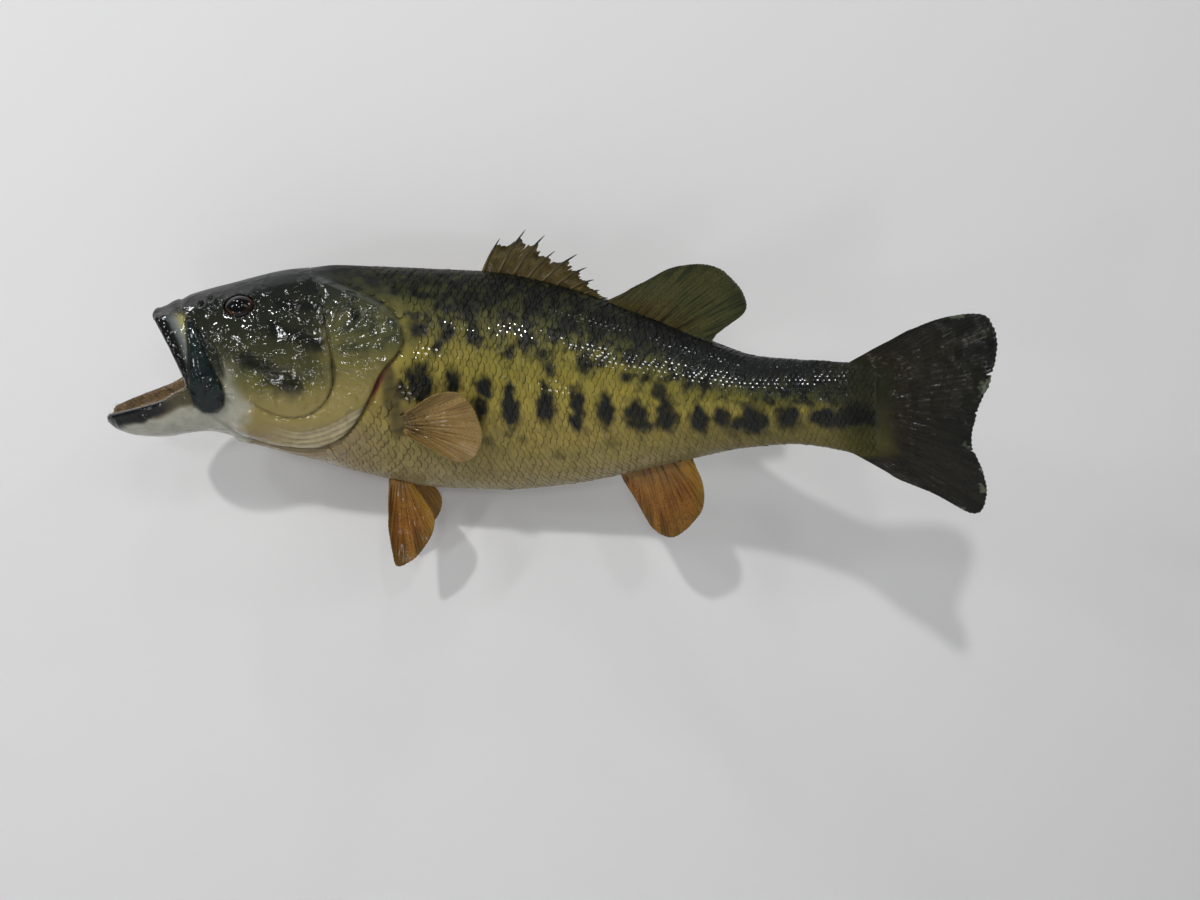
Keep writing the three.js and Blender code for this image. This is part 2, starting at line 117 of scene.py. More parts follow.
# %% Curves and steps
def guide(*points):
    """A smooth curve through a few (station, value) pairs, without overshoot."""
    at, value = np.array(points, float).T
    secant = np.diff(value) / np.diff(at)
    slope = np.concatenate([secant[:1], np.zeros(len(at) - 2), secant[-1:]])
    before, after = secant[:-1], secant[1:]
    same = before * after > 0
    mean = 2 * before * after / np.where(same, before + after, 1)
    slope[1:-1] = np.where(same, mean, 0)

    def curve(station):
        station = np.asarray(station, float)
        i = np.clip(np.searchsorted(at, station, side="right") - 1, 0, len(at) - 2)
        span = at[i + 1] - at[i]
        w = np.clip((station - at[i]) / span, 0, 1)
        ease = value[i] + (value[i + 1] - value[i]) * w * w * (3 - 2 * w)
        lead = w * (1 - w) ** 2 * slope[i]
        trail = w * w * (w - 1) * slope[i + 1]
        return ease + span * (lead + trail)

    return curve


def smooth(x, low, high):
    """0 below low, 1 above high, and a soft step between."""
    w = np.clip((np.asarray(x, float) - low) / (high - low), 0, 1)
    return w * w * (3 - 2 * w)


def window(x, rise_from, rise_to, fall_from, fall_to):
    """1 between two soft steps, and 0 outside them."""
    return smooth(x, rise_from, rise_to) * (1 - smooth(x, fall_from, fall_to))


def bump(x, centre, width):
    """A bell of height 1."""
    return np.exp(-(((x - centre) / width) ** 2))


print("a soft step, a quarter of the way up:", float(smooth(0.25, 0, 1)))

# %% [markdown]
# A few guides give the height of the back and the belly and the half width, all along the fish.
# The middle is the height where it is widest. The crown and keel say how boxy its section is
# above and below that.

# %% Guides
back = guide(
    (4, 36), (8, 44), (17, 50.5), (28, 55.5), (50, 62.5), (90, 73), (130, 76),
    (210, 74), (250, 67.5), (330, 42.5), (370, 27.5), (400, 18.8), (460, 15.5),
)
belly = guide(
    (4, 30), (12, -5), (30, -28), (50, -34), (100, -51), (140, -63.5),
    (175, -71.5), (220, -73.8), (255, -70), (350, -46), (390, -36), (425, -32), (460, -36),
)
girth = guide(
    (4, 8), (10, 20), (20, 28), (35, 34), (55, 37.5), (110, 41.5), (150, 44),
    (190, 45.5), (235, 42.5), (280, 36.5), (330, 27.5), (380, 18), (420, 11.5), (460, 5.5),
)
middle = guide((4, 34), (20, 24), (60, 12), (120, 4), (300, -1), (460, -10))
crown = guide((4, 2.1), (40, 2.4), (70, 2.4), (130, 1.95), (460, 1.9))
KEEL = 2.1
STALK_END, STALK_TAPER = 456, 17


def stalk_taper(s):
    """Rounds off the flesh where it ends inside the tail fin."""
    return np.sqrt(np.clip(1 - (np.maximum(s - STALK_END, 0) / STALK_TAPER) ** 2, 0.01, 1))


print("deepest at station 200:", float(back(200) - belly(200)), "mm, half width", float(girth(200)))

# %% [markdown]
# ## The pose
# The straight fish is rolled 10 degrees and bent along a spine that turns from 12 degrees at the
# head to -44 degrees at the tail. The spine is walked in 1 mm steps and pinned at station 200.

# %% Hang the fish
HEAD_SWING, TAIL_SWING, ROLL = (math.radians(a) for a in (12, -44, 10))
BEND_START, BEND_END = 110, 352
ANCHOR = {"station": 200, "x": 10, "y": -60, "z": -16}
SPINE_FROM, SPINE_TO = -60, 560


def spine_turn(station):
    return HEAD_SWING + (TAIL_SWING - HEAD_SWING) * smooth(station, BEND_START, BEND_END)


spine_turns = spine_turn(np.arange(SPINE_FROM, SPINE_TO) + 0.5)
spine_x = np.concatenate([[0], np.cumsum(np.cos(spine_turns))])
spine_y = np.concatenate([[0], np.cumsum(np.sin(spine_turns))])
spine_x += ANCHOR["x"] - spine_x[ANCHOR["station"] - SPINE_FROM]
spine_y += ANCHOR["y"] - spine_y[ANCHOR["station"] - SPINE_FROM]


def hang(points):
    """Rolls and bends points of the straight fish into the row frame, in metres."""
    s, y, z = np.asarray(points, float).T
    steps = np.arange(SPINE_FROM, SPINE_TO + 1)
    turn = spine_turn(s)
    out = z * math.sin(ROLL) - y * math.cos(ROLL)
    up = z * math.cos(ROLL) + y * math.sin(ROLL)
    x = np.interp(s, steps, spine_x) + out * np.sin(turn)
    toward = np.interp(s, steps, spine_y) - out * np.cos(turn)
    return np.stack([x, toward, up + ANCHOR["z"]], axis=1) * MM


for name, spot in (("snout", (7, 0, 40)), ("tail root", (458, 0, -10))):
    print(name, "hangs at", hang([spot])[0].round(3))

# %% [markdown]
# ## Relief of the flank
# The gill cover, the cheek plate and the creases between them are drawn as a height over the
# flank. The gill cover is laid out around a hub on the cheek, in angles from the tail direction.

# %% Gill cover outline
HUB_X, HUB_Z = 88, 24
opercle_edge = guide((-140, 41), (-112, 44), (-90, 46), (-74, 44.8), (-55, 43.7), (-34, 47), (-20, 47.7))


def around_hub(s, z):
    across, rise = s - HUB_X, z - HUB_Z
    return np.degrees(np.arctan2(rise, across)), np.hypot(across, rise)


def gill_inner(angle):
    above = 17.5 * (np.maximum(angle, 0) / 67) ** 3.3
    return 19.5 + above + 17.8 * smooth(-angle, 0, 105)


def gill_outer(angle):
    lobe = 19 * np.exp(-(((angle - 12) / np.where(angle > 12, 30, 15)) ** 2))
    return 47.5 + lobe + 12 * smooth(-angle, 30, 85)


print("gill cover reaches station", round(HUB_X + float(gill_outer(12)) * math.cos(math.radians(12)), 1))

# %% [markdown]
# Some measures are wanted by both the relief and the paint, so each is one small function: where
# a point lies on the gill cover, how far it is from the eye, and how the folds run below the
# cover. One formula for both keeps the paint on the edges that it belongs to.

# %% Measures on the head
def segment_distance(s, z, ax, az, bx, bz):
    """Distance in the side view to the segment from a to b."""
    run, rise = bx - ax, bz - az
    t = np.clip(((s - ax) * run + (z - az) * rise) / (run * run + rise * rise), 0, 1)
    return np.hypot(s - ax - t * run, z - az - t * rise)


EYE = {"x": 57.0, "z": 53.6, "radius": 9.5, "tall": 7.7, "deep": 6.5, "proud": 2.4}
LID = EYE["radius"] - 0.4
NOSTRILS = ((36.5, 52.5, 1.1), (41.5, 55.5, 0.9))  # station, height, size
FOLD_PITCH = 3.4
cheek_crease = guide(
    (5, 49.5), (13.3, 48), (23.6, 45.9), (32.4, 42), (37.2, 37.3), (42.7, 31.4), (49.7, 22),
)


def gill_bands(s, z):
    """Where a point lies on the gill cover: how far inside its two edges, and how plain they are."""
    angle, radius = around_hub(s, z)
    shown = window(angle, -150, -118, 66, 84)
    return angle, radius, radius - gill_inner(angle), gill_outer(angle) - radius, shown


def eye_frame():
    """The middle of the eye on the flank, then the directions ahead, above and out of it."""
    x, z = EYE["x"], EYE["z"]
    place = np.array([x, float(flank(x, z)), z])
    along, up = flank(x + 2, z) - flank(x - 2, z), flank(x, z + 2) - flank(x, z - 2)
    gaze = np.array([-float(along) / 4, 1, -float(up) / 4])
    gaze /= np.linalg.norm(gaze)
    above = np.cross(gaze, np.cross([-0.26, 0, 0.97], gaze))
    above /= np.linalg.norm(above)
    return place, np.cross(above, gaze), above, gaze


def eye_ring(s, z):
    """Distance over the flank from the middle of the eye, where the lid is oval."""
    place, ahead, above, _ = eye_frame()
    offset = np.stack(np.broadcast_arrays(s, flank(s, z), z), axis=-1) - place
    return np.hypot(offset @ ahead, offset @ above * EYE["radius"] / EYE["tall"])


def gill_folds(angle, radius):
    """How far a point is past the gill cover's bony edge, and the wave of the folds there, -1 to 1."""
    past = radius - opercle_edge(angle)
    return past, np.sin(2 * math.pi * past / FOLD_PITCH)


print("the eye is", 2 * EYE["radius"], "mm long and stands", EYE["proud"], "mm out of the cheek")

# %% [markdown]
# The relief itself is a sum of soft steps and bells. First comes the gill cover with its streaks
# and folds, then the cheek, the lids, the notch of the lip, the nostrils and the cheek's crease.

# %% Relief
def relief(s, z):
    """How far the flesh stands over the plain flank, in millimetres."""
    angle, radius, inside, rim, shown = gill_bands(s, z)
    swell = 0.1 + 2.1 * (1 - np.exp(-np.maximum(inside, 0) / 5))
    swell = np.minimum(swell, 1.3 + 0.3 * np.maximum(rim, 0))
    cover = swell * smooth(rim, -0.6, 0.6 + 3 * smooth(angle, 5, 30)) * smooth(inside, -0.6, 0.8)
    streaks = np.stack([angle / 3.4, radius / 15, 0 * radius], axis=-1)
    cover = cover + 0.42 * value_noise(streaks, 1.0, 5) * smooth(inside, 1, 5) * smooth(rim, 0, 3)
    past, wave = gill_folds(angle, radius)
    fold = window(-angle, 22, 42, 92, 122) * smooth(past, -0.5, 0.7)
    cover = cover - fold * (1.0 - 0.32 * wave)
    loose = 1 - 0.4 * smooth(angle, 2, 26)
    behind = -1.2 * loose * bump(rim, -1.4, 1.8) + 0.6 * bump(rim, -8, 4)
    cheek = 0.9 * window(inside, -13, -1.2, -0.8, 0.4)
    line = -0.9 * bump(inside, 0.3, 0.8)
    height = shown * (cover + behind + cheek + line)
    ring = eye_ring(s, z)
    brow = smooth(z - EYE["z"], -3, 6)
    height = height + (0.3 + 0.9 * brow) * bump(ring, LID, 1.9)
    height = height - 0.4 * bump(ring, LID + 2.6, 2.4) * (1 - brow)
    notch = np.minimum(segment_distance(s, z, 31, 62, 23.5, 52.5), segment_distance(s, z, 23.5, 52.5, 25, 47))
    height = height - 1.1 * bump(notch, 0, 1.3) + 0.5 * (1 - smooth(s, 14, 25)) * smooth(z, 38, 46)
    for x, up, size in NOSTRILS:
        pit = np.hypot(s - x, z - up)
        height = height + 0.6 * bump(pit, size + 1.1, 0.9) - 1.5 * bump(pit, 0, size)
    crease = s - cheek_crease(z)
    step = np.exp(-np.maximum(crease, 0) / 6) * (crease > 0) - bump(crease, 0, 0.9)
    return height + window(z, 6, 16, 46, 52) * (0.5 * bump(crease, -3.4, 1.6) + 0.9 * step)


print("the gill cover's lobe has its middle", round(float(gill_outer(12)), 1), "mm behind the hub")

# %% [markdown]
# ## Jaws and mouth
# The open mouth is a side outline cut from the head, the roof is a rounded tunnel, and the lower
# jaw is a U-shaped trough. The maxilla is the paddle that hangs beside the corner of the mouth.

# %% Jaw guides
LIP = {"top": 43.5, "corner": 4.6, "front": 7, "sweep": 19.5}
JAW = {"front": -22, "back": 57.6, "width": 32, "tip": 3.4, "wall": 4.5, "power": 2.6}
jaw_lip = guide((-22, -15.2), (-9, -10.5), (12, -3), (26, 4.4), (47, 1.9), (57.6, -9))
jaw_base = guide((-22, -20.4), (-14, -26.5), (-4, -29.5), (9, -30.4), (34, -27.5), (57.6, -34))
cavity_half = guide((-40, 16), (7, 12), (14, 18.5), (20, 22.5), (28, 25.5), (40, 26), (60, 21), (84, 8))
cavity_roof = guide((-40, 34), (7, 34), (14, 38.5), (24, 41), (35, 38), (60, 27), (84, 10))
cavity_floor = guide((-40, -22), (45, -22), (62, -20), (84, -6))
paddle_centre = guide((0, 30.5), (0.25, 33), (0.5, 35), (0.75, 37.2), (1, 38))
paddle_half = guide((0, 2.2), (0.3, 4.2), (0.55, 7.4), (0.75, 9.2), (0.9, 8), (1, 3.6))
PADDLE = {"top": 44, "bottom": -9.5}


def lip_station(z):
    drop = np.clip((LIP["top"] - z) / (LIP["top"] - LIP["corner"]), 0, 1)
    return LIP["front"] + LIP["sweep"] * drop ** 0.62


def jaw_width(s):
    u = np.clip((s - JAW["front"]) / (JAW["back"] - JAW["front"]), 0, 1)
    return JAW["tip"] + (JAW["width"] - JAW["tip"]) * np.sqrt(1 - (1 - u) ** 2.5)


def outline_distance(s, z, corners):
    """Distance to a closed side outline, negative inside it."""
    corners = np.asarray(corners, float)
    nearest, inside = np.inf, False
    for (ax, az), (bx, bz) in zip(corners, np.roll(corners, -1, axis=0)):
        nearest = np.minimum(nearest, segment_distance(s, z, ax, az, bx, bz))
        if bz != az:
            inside = inside ^ (((az > z) != (bz > z)) & (s < ax + (z - az) * (bx - ax) / (bz - az)))
    return np.where(inside, -nearest, nearest)


lip_heights = np.linspace(LIP["top"], LIP["corner"], 16)
GAPE = [(-60, 70), (LIP["front"], 70), *zip(lip_station(lip_heights), lip_heights),
        (46.5, 2.4), (51, -3), (52, -14), (49, -60), (-60, -60)]
paddle_steps = np.linspace(0, 1, 14)
paddle_z = PADDLE["top"] + (PADDLE["bottom"] - PADDLE["top"]) * paddle_steps
paddle_front = list(zip(paddle_centre(paddle_steps) - paddle_half(paddle_steps), paddle_z))
paddle_rear = list(zip(paddle_centre(paddle_steps) + paddle_half(paddle_steps), paddle_z))
PADDLE_OUTLINE = paddle_front + paddle_rear[::-1]
print("mouth opens", round(LIP["top"] - float(jaw_lip(-20)), 1), "mm")

# %% [markdown]
# ## Flesh as one field
# A body, jaws, plates and hollows could be joined as meshes, but the joins would show. Here each
# one is a distance instead, negative inside. Distances blend with a soft minimum or maximum, so
# the whole flesh is one smooth field, and the skin is the surface where that field is zero.

# %% Distances
def soft_min(a, b, blend):
    h = np.clip(0.5 + 0.5 * (b - a) / blend, 0, 1)
    return b + (a - b) * h - blend * h * (1 - h)


def soft_max(a, b, blend):
    return -soft_min(-a, -b, blend)


def cut(solid, *cuts):
    """A solid after soft cuts, each a distance that is positive where it cuts, and its blend."""
    for distance, blend in cuts:
        solid = soft_max(solid, distance, blend)
    return solid


def value_noise(points, size, seed=0):
    """Smooth noise from -1 to 1 whose blobs are about size wide."""
    q = np.asarray(points, float) / size
    cell = np.floor(q).astype(np.int64)
    part = q - cell
    part = part * part * (3 - 2 * part)
    total = np.zeros(q.shape[:-1])
    for corner in np.ndindex(2, 2, 2):
        c = cell + corner
        key = (c[..., 0] * 73856093) ^ (c[..., 1] * 19349663) ^ (c[..., 2] * 83492791) ^ (seed * 7919 + 101)
        key = ((key ^ (key >> 13)) * 1274126177) & 0xFFFFFFFF
        key = (key ^ (key >> 16)) & 0xFFFF
        weight = np.where(corner, part, 1 - part).prod(axis=-1)
        total += weight * (key / 32767.5 - 1)
    return total


print("a soft minimum of 1 and 1 is", round(float(soft_min(1.0, 1.0, 0.4)), 2))

# %% [markdown]
# Body, jaw and throat are all tubes whose section is a superellipse. Its power says how boxy it
# is, and it may be taller above its middle than below, as a fish's section is.

# %% Tubes
def superellipse(y, z, half, low, high, centre, power_low, power_high):
    """Distance to a tube whose section has a half width and unlike heights above and below."""
    above = z > centre
    power = np.where(above, power_high, power_low)
    rise = np.where(above, high - centre, centre - low)
    a = np.maximum(np.abs(y) / half, 1e-4)
    b = np.maximum(np.abs(z - centre) / rise, 1e-4)
    ap, bp = a ** power, b ** power
    level = (ap + bp) ** (1 / power)
    lead = level ** (1 - power)
    steep = np.hypot(lead * ap / a / half, lead * bp / b / rise)
    return (level - 1) / steep


def body_distance(s, y, z):
    flat = superellipse(y, z, girth(s) * stalk_taper(s), belly(s), back(s), middle(s), KEEL, crown(s))
    slope = (girth(s + 0.5) - girth(s - 0.5)) * 0.7
    return flat / np.sqrt(1 + slope * slope)


def section(s, above):
    """The power and the height of the body's section, above its middle or below it."""
    return np.where(above, crown(s), KEEL), np.where(above, back(s) - middle(s), middle(s) - belly(s))


def flank(s, z):
    """The half width of the body at a height."""
    power, rise = section(s, z > middle(s))
    level = np.minimum(np.abs(z - middle(s)) / rise, 1)
    return girth(s) * (1 - level ** power) ** (1 / power)


def jaw_flank(s, z):
    level = (jaw_lip(s) - z) / (jaw_lip(s) - jaw_base(s))
    inside = jaw_width(s) * (1 - np.clip(level, 0, 1) ** JAW["power"]) ** (1 / JAW["power"])
    return np.where((z < jaw_lip(s)) & (z > jaw_base(s)) & (s < 58), inside, 0)


def jaw_distance(s, y, z, inset):
    """Distance to the U-shaped jaw, shrunk by an inset."""
    half = np.maximum(jaw_width(s) - inset, 0.5)
    top = jaw_lip(s) + inset
    low = jaw_base(s) + inset * 1.1
    return superellipse(y, z, half, low, top + 200, top, JAW["power"], JAW["power"])


print("half width of the flank at the eye:", round(float(flank(EYE["x"], EYE["z"])), 1), "mm")

# %% [markdown]
# The flesh is body, head, jaw, hollow, maxillas, fin roots and eye sockets, joined softly. It lies
# inside the solid model by the depth of its coat: more under the scales than on the bare head.

# %% Everything that shapes the flesh
COAT = 0.6
HEAD_SKIN = 0.3
FIN_ROOT = {"x": 152, "z": -15}
CAVITY_END, TROUGH_END = 84, 63


def flesh_parts(s, y, z):
    """The distances that make the flesh, by name."""
    gape = -outline_distance(s, z, GAPE)
    lip_roll = 1.0 * np.sin(math.pi * np.clip(-gape / 4.6, 0, 1)) * (z > 2) * (gape < 0)
    strip = 0.7 * bump(-gape, 8.5, 3.2) * smooth(z, 4, 14) * (s < 34)
    depth = HEAD_SKIN + (COAT - HEAD_SKIN) * smooth(s, 118, 150)
    raised = relief(s, z) + lip_roll - strip - depth
    body = body_distance(s, y, z) - raised
    head = cut(body, (gape, 1.6), (LIP["front"] + 0.4 - s, 3.0))
    roll = 0.8 * np.sin(math.pi * np.clip((jaw_lip(s) - z) / 4.2, 0, 1))
    jaw = cut(
        jaw_distance(s, y, z, HEAD_SKIN) - roll, (z - jaw_lip(s) + HEAD_SKIN, 2.2),
        (JAW["front"] + HEAD_SKIN - s, 3.0), (s - JAW["back"] + 0.5, 3.0),
    )
    tunnel = superellipse(
        y, z, cavity_half(s), cavity_floor(s), cavity_roof(s),
        (cavity_floor(s) + cavity_roof(s)) / 2, 2.4, 2.4,
    )
    trough = cut(
        jaw_distance(s, y, z, JAW["wall"]), (JAW["front"] + JAW["wall"] - s, 2.0),
        (s - TROUGH_END, 3.0), (z - jaw_lip(s) - JAW["wall"], 1.0),
    )
    hollow = soft_min(cut(tunnel, (s - CAVITY_END, 3.0)), trough, 3.0)
    return {"gape": gape, "head": head, "jaw": jaw, "hollow": hollow}


def paddle_distance(s, y, z):
    """The maxilla: a plate over the flank and jaw, thickest along its middle."""
    flat = outline_distance(s, z, PADDLE_OUTLINE)
    b = np.clip((PADDLE["top"] - z) / (PADDLE["top"] - PADDLE["bottom"]), 0, 1)
    a = np.clip((s - paddle_centre(b)) / paddle_half(b), -1, 1)
    under = np.maximum(flank(s, z), jaw_flank(s, z))
    thick = (1.0 + 2.0 * np.sqrt(1 - a * a)) * (0.6 + 0.4 * b) - 0.35 * bump(a, -0.35, 0.16)
    face = np.abs(y) - under - thick - 0.2
    return cut(flat, (face, 1.0), (under - 2.5 - np.abs(y), 0.6))


def eye_centre():
    place, ahead, above, gaze = eye_frame()
    return place + gaze * (EYE["proud"] - EYE["deep"]), ahead, above, gaze


def flesh(s, y, z):
    part = flesh_parts(s, y, z)
    solid = soft_min(part["head"], part["jaw"], 4.5)
    solid = soft_max(solid, -part["hollow"], 1.6)
    solid = soft_min(solid, paddle_distance(s, y, z), 0.5)
    along, rise = s - FIN_ROOT["x"], z - FIN_ROOT["z"]
    root = np.sqrt((along / 8) ** 2 + ((np.abs(y) - 41) / 4.0) ** 2 + (rise / 8.5) ** 2)
    solid = soft_min(solid, (root - 1) * 4.0, 4.0)
    place, ahead, above, gaze = eye_centre()
    offset = np.stack(np.broadcast_arrays(s, np.abs(y), z), axis=-1) - place
    oval = np.hypot(offset @ ahead / EYE["radius"], offset @ above / EYE["tall"])
    socket = (1.02 - np.hypot(oval, offset @ gaze / EYE["deep"])) * EYE["deep"]
    return soft_max(solid, socket, 0.5)


print("between the jaws the field is", round(float(flesh(0.0, 0.0, 15.0)), 1), "mm from the flesh")

# %% [markdown]
# ## From field to mesh
# Marching cubes would do, but surface nets give evener quads: every grid cell that the surface
# passes gets one vertex, at the mean of its edge crossings, and every crossed edge gets one quad.
# The grid is fine over the head and coarse over the trunk, which the scales will cover.

# %% Surface nets
def surface_net(axes, field):
    """Vertices and outward quads of the surface where the field is zero."""
    cells = tuple(n - 1 for n in field.shape)
    total = np.zeros((math.prod(cells), 3))
    count = np.zeros(math.prod(cells))
    quads = []
    for axis in range(3):
        near = [slice(None)] * 3
        far = [slice(None)] * 3
        near[axis], far[axis] = slice(0, -1), slice(1, None)
        low, high = field[tuple(near)], field[tuple(far)]
        edge = np.argwhere((low < 0) != (high < 0))
        first, second = (axis + 1) % 3, (axis + 2) % 3
        for k in (first, second):
            edge = edge[(edge[:, k] > 0) & (edge[:, k] < field.shape[k] - 1)]
        f0, f1 = low[tuple(edge.T)], high[tuple(edge.T)]
        point = np.stack([axes[k][edge[:, k]] for k in range(3)], axis=1)
        point[:, axis] += f0 / (f0 - f1) * (axes[axis][edge[:, axis] + 1] - axes[axis][edge[:, axis]])
        ring = []
        for step_first, step_second in ((0, 0), (-1, 0), (-1, -1), (0, -1)):
            cell = edge.copy()
            cell[:, first] += step_first
            cell[:, second] += step_second
            flat = np.ravel_multi_index(cell.T, cells)
            ring.append(flat)
            count += np.bincount(flat, minlength=len(count))
            for k in range(3):
                total[:, k] += np.bincount(flat, weights=point[:, k], minlength=len(count))
        quad = np.stack(ring, axis=1)
        quads.append(np.where((f0 < 0)[:, None], quad, quad[:, ::-1]))
    used = count > 0
    number = np.cumsum(used) - 1
    return total[used] / count[used, None], number[np.concatenate(quads)]


line = np.arange(-2.0, 2.5)
ball = np.sqrt(line[:, None, None] ** 2 + line[:, None] ** 2 + line ** 2) - 1.2
print("a coarse ball has", len(surface_net([line] * 3, ball)[1]), "quads")

# %% [markdown]
# A net's vertices lie a little off the true surface. Each is walked down the field's slope until
# it lies on it, which makes edges and creases crisp.

# %% Net of the flesh
def gradient(field, points, step=0.15):
    slopes = []
    for k in range(3):
        shift = np.zeros(3)
        shift[k] = step
        slopes.append((field(*(points + shift).T) - field(*(points - shift).T)) / (2 * step))
    return np.stack(slopes, axis=1)


def settle(field, points, rounds=3, reach=0.5):
    """Walks points onto the surface where the field is zero."""
    for _ in range(rounds):
        slope = gradient(field, points)
        square = np.maximum((slope ** 2).sum(axis=1), 0.05)
        step = -slope * (field(*points.T) / square)[:, None]
        length = np.linalg.norm(step, axis=1, keepdims=True)
        points = points + step * np.minimum(1, reach / np.maximum(length, 1e-9))
    return points


HEAD_STEP, TRUNK_STEP, SIDE_STEP = 1.08, 3.3, 1.2
station_steps = np.concatenate([
    np.arange(-25, 150, HEAD_STEP), np.arange(150, 470, TRUNK_STEP), [470, 473.5, 477],
])
axes = [station_steps, np.arange(-50.4, 51, SIDE_STEP), np.arange(-80, 82, SIDE_STEP)]
grid = np.meshgrid(*axes, indexing="ij", sparse=True)
skin_points, skin_quads = surface_net(axes, np.broadcast_to(flesh(*grid), [len(a) for a in axes]))
skin_points = settle(flesh, skin_points)
print("skin:", len(skin_points), "vertices,", len(skin_quads), "quads")

# %% [markdown]
# ## Markings
# Skin and scales have to carry the same pattern, so the pattern is worked out from the place on
# the straight fish, and each mesh stores it at its vertices: how far from belly to back, the row
# of blotches, the bars on the cheek, and where the lips, plates and mouth have their own colour.

# %% Where the markings are
blotch_line = guide((60, 20), (150, 12), (190, 11), (214, -1), (240, -7), (300, -10), (350, -14), (470, -12))
dark_line = guide(
    (60, 40), (130, 58), (188, 50), (220, 46), (252, 44), (283, 37), (312, 29), (340, 19), (371, 5), (394, 0),
    (455, -5),
)
lateral_line = guide(
    (80, 40), (120, 37), (160, 32), (210, 25), (270, 12), (330, 0), (400, -8), (470, -10),
)
BLOTCHES = (  # station, height, half length, half height
    (164, 9, 10, 12), (190, 11, 6, 8), (215, 6, 7, 7), (211, -6, 6, 9), (236, -7, 6.5, 15),
    (265, -7, 6.5, 13.5),
    (289, -5, 5, 11), (287, -16, 4.5, 7), (309, -10, 5.5, 10), (330, -14, 8, 10.5), (350, -11, 6, 9),
    (347, -18, 5, 6), (369, -15, 5.5, 8), (383, -14, 4.8, 6.8), (402, -15, 7, 9), (397, -18, 7, 5),
    (421, -14, 7, 6.8), (440, -13, 8.5, 6.3), (457, -12.5, 13, 6.3),
)
MOTTLES = (  # station, height, size
    (208, 38, 8), (250, 35, 8), (187, 40, 7), (237, 28, 5), (270, 17, 6.5), (296, 20, 7), (302, 34, 7),
    (165, 41, 8), (178, 31, 5), (327, 22, 7), (346, 1, 6), (325, 10, 5), (365, 11, 6), (280, 43, 8),
    (252, 54, 9), (202, 57, 9), (221, 63, 8), (302, 46, 8), (388, -23, 5), (309, -31, 5), (292, -23, 4),
    (268, -40, 5), (244, -28, 4.5), (216, -29, 4.5), (148, -24, 5), (151, 5, 7), (122, 50, 4), (116, 57, 4),
)
CHEEK_BARS = (  # from station and height, to station and height, size
    (79, 55, 101, 53, 3), (76, 41, 99, 32, 4.5), (60, 23, 88, 9, 4.8), (77, 12, 85, 8, 7.5),
)


def shoulder_distance(s, z):
    """Distance in the side view to the bare strip behind the gill opening."""
    return np.minimum(segment_distance(s, z, 138, 24, 144, 2), segment_distance(s, z, 144, 2, 149, -17))


print(len(BLOTCHES), "blotches,", len(MOTTLES), "mottles,", len(CHEEK_BARS), "cheek bars")
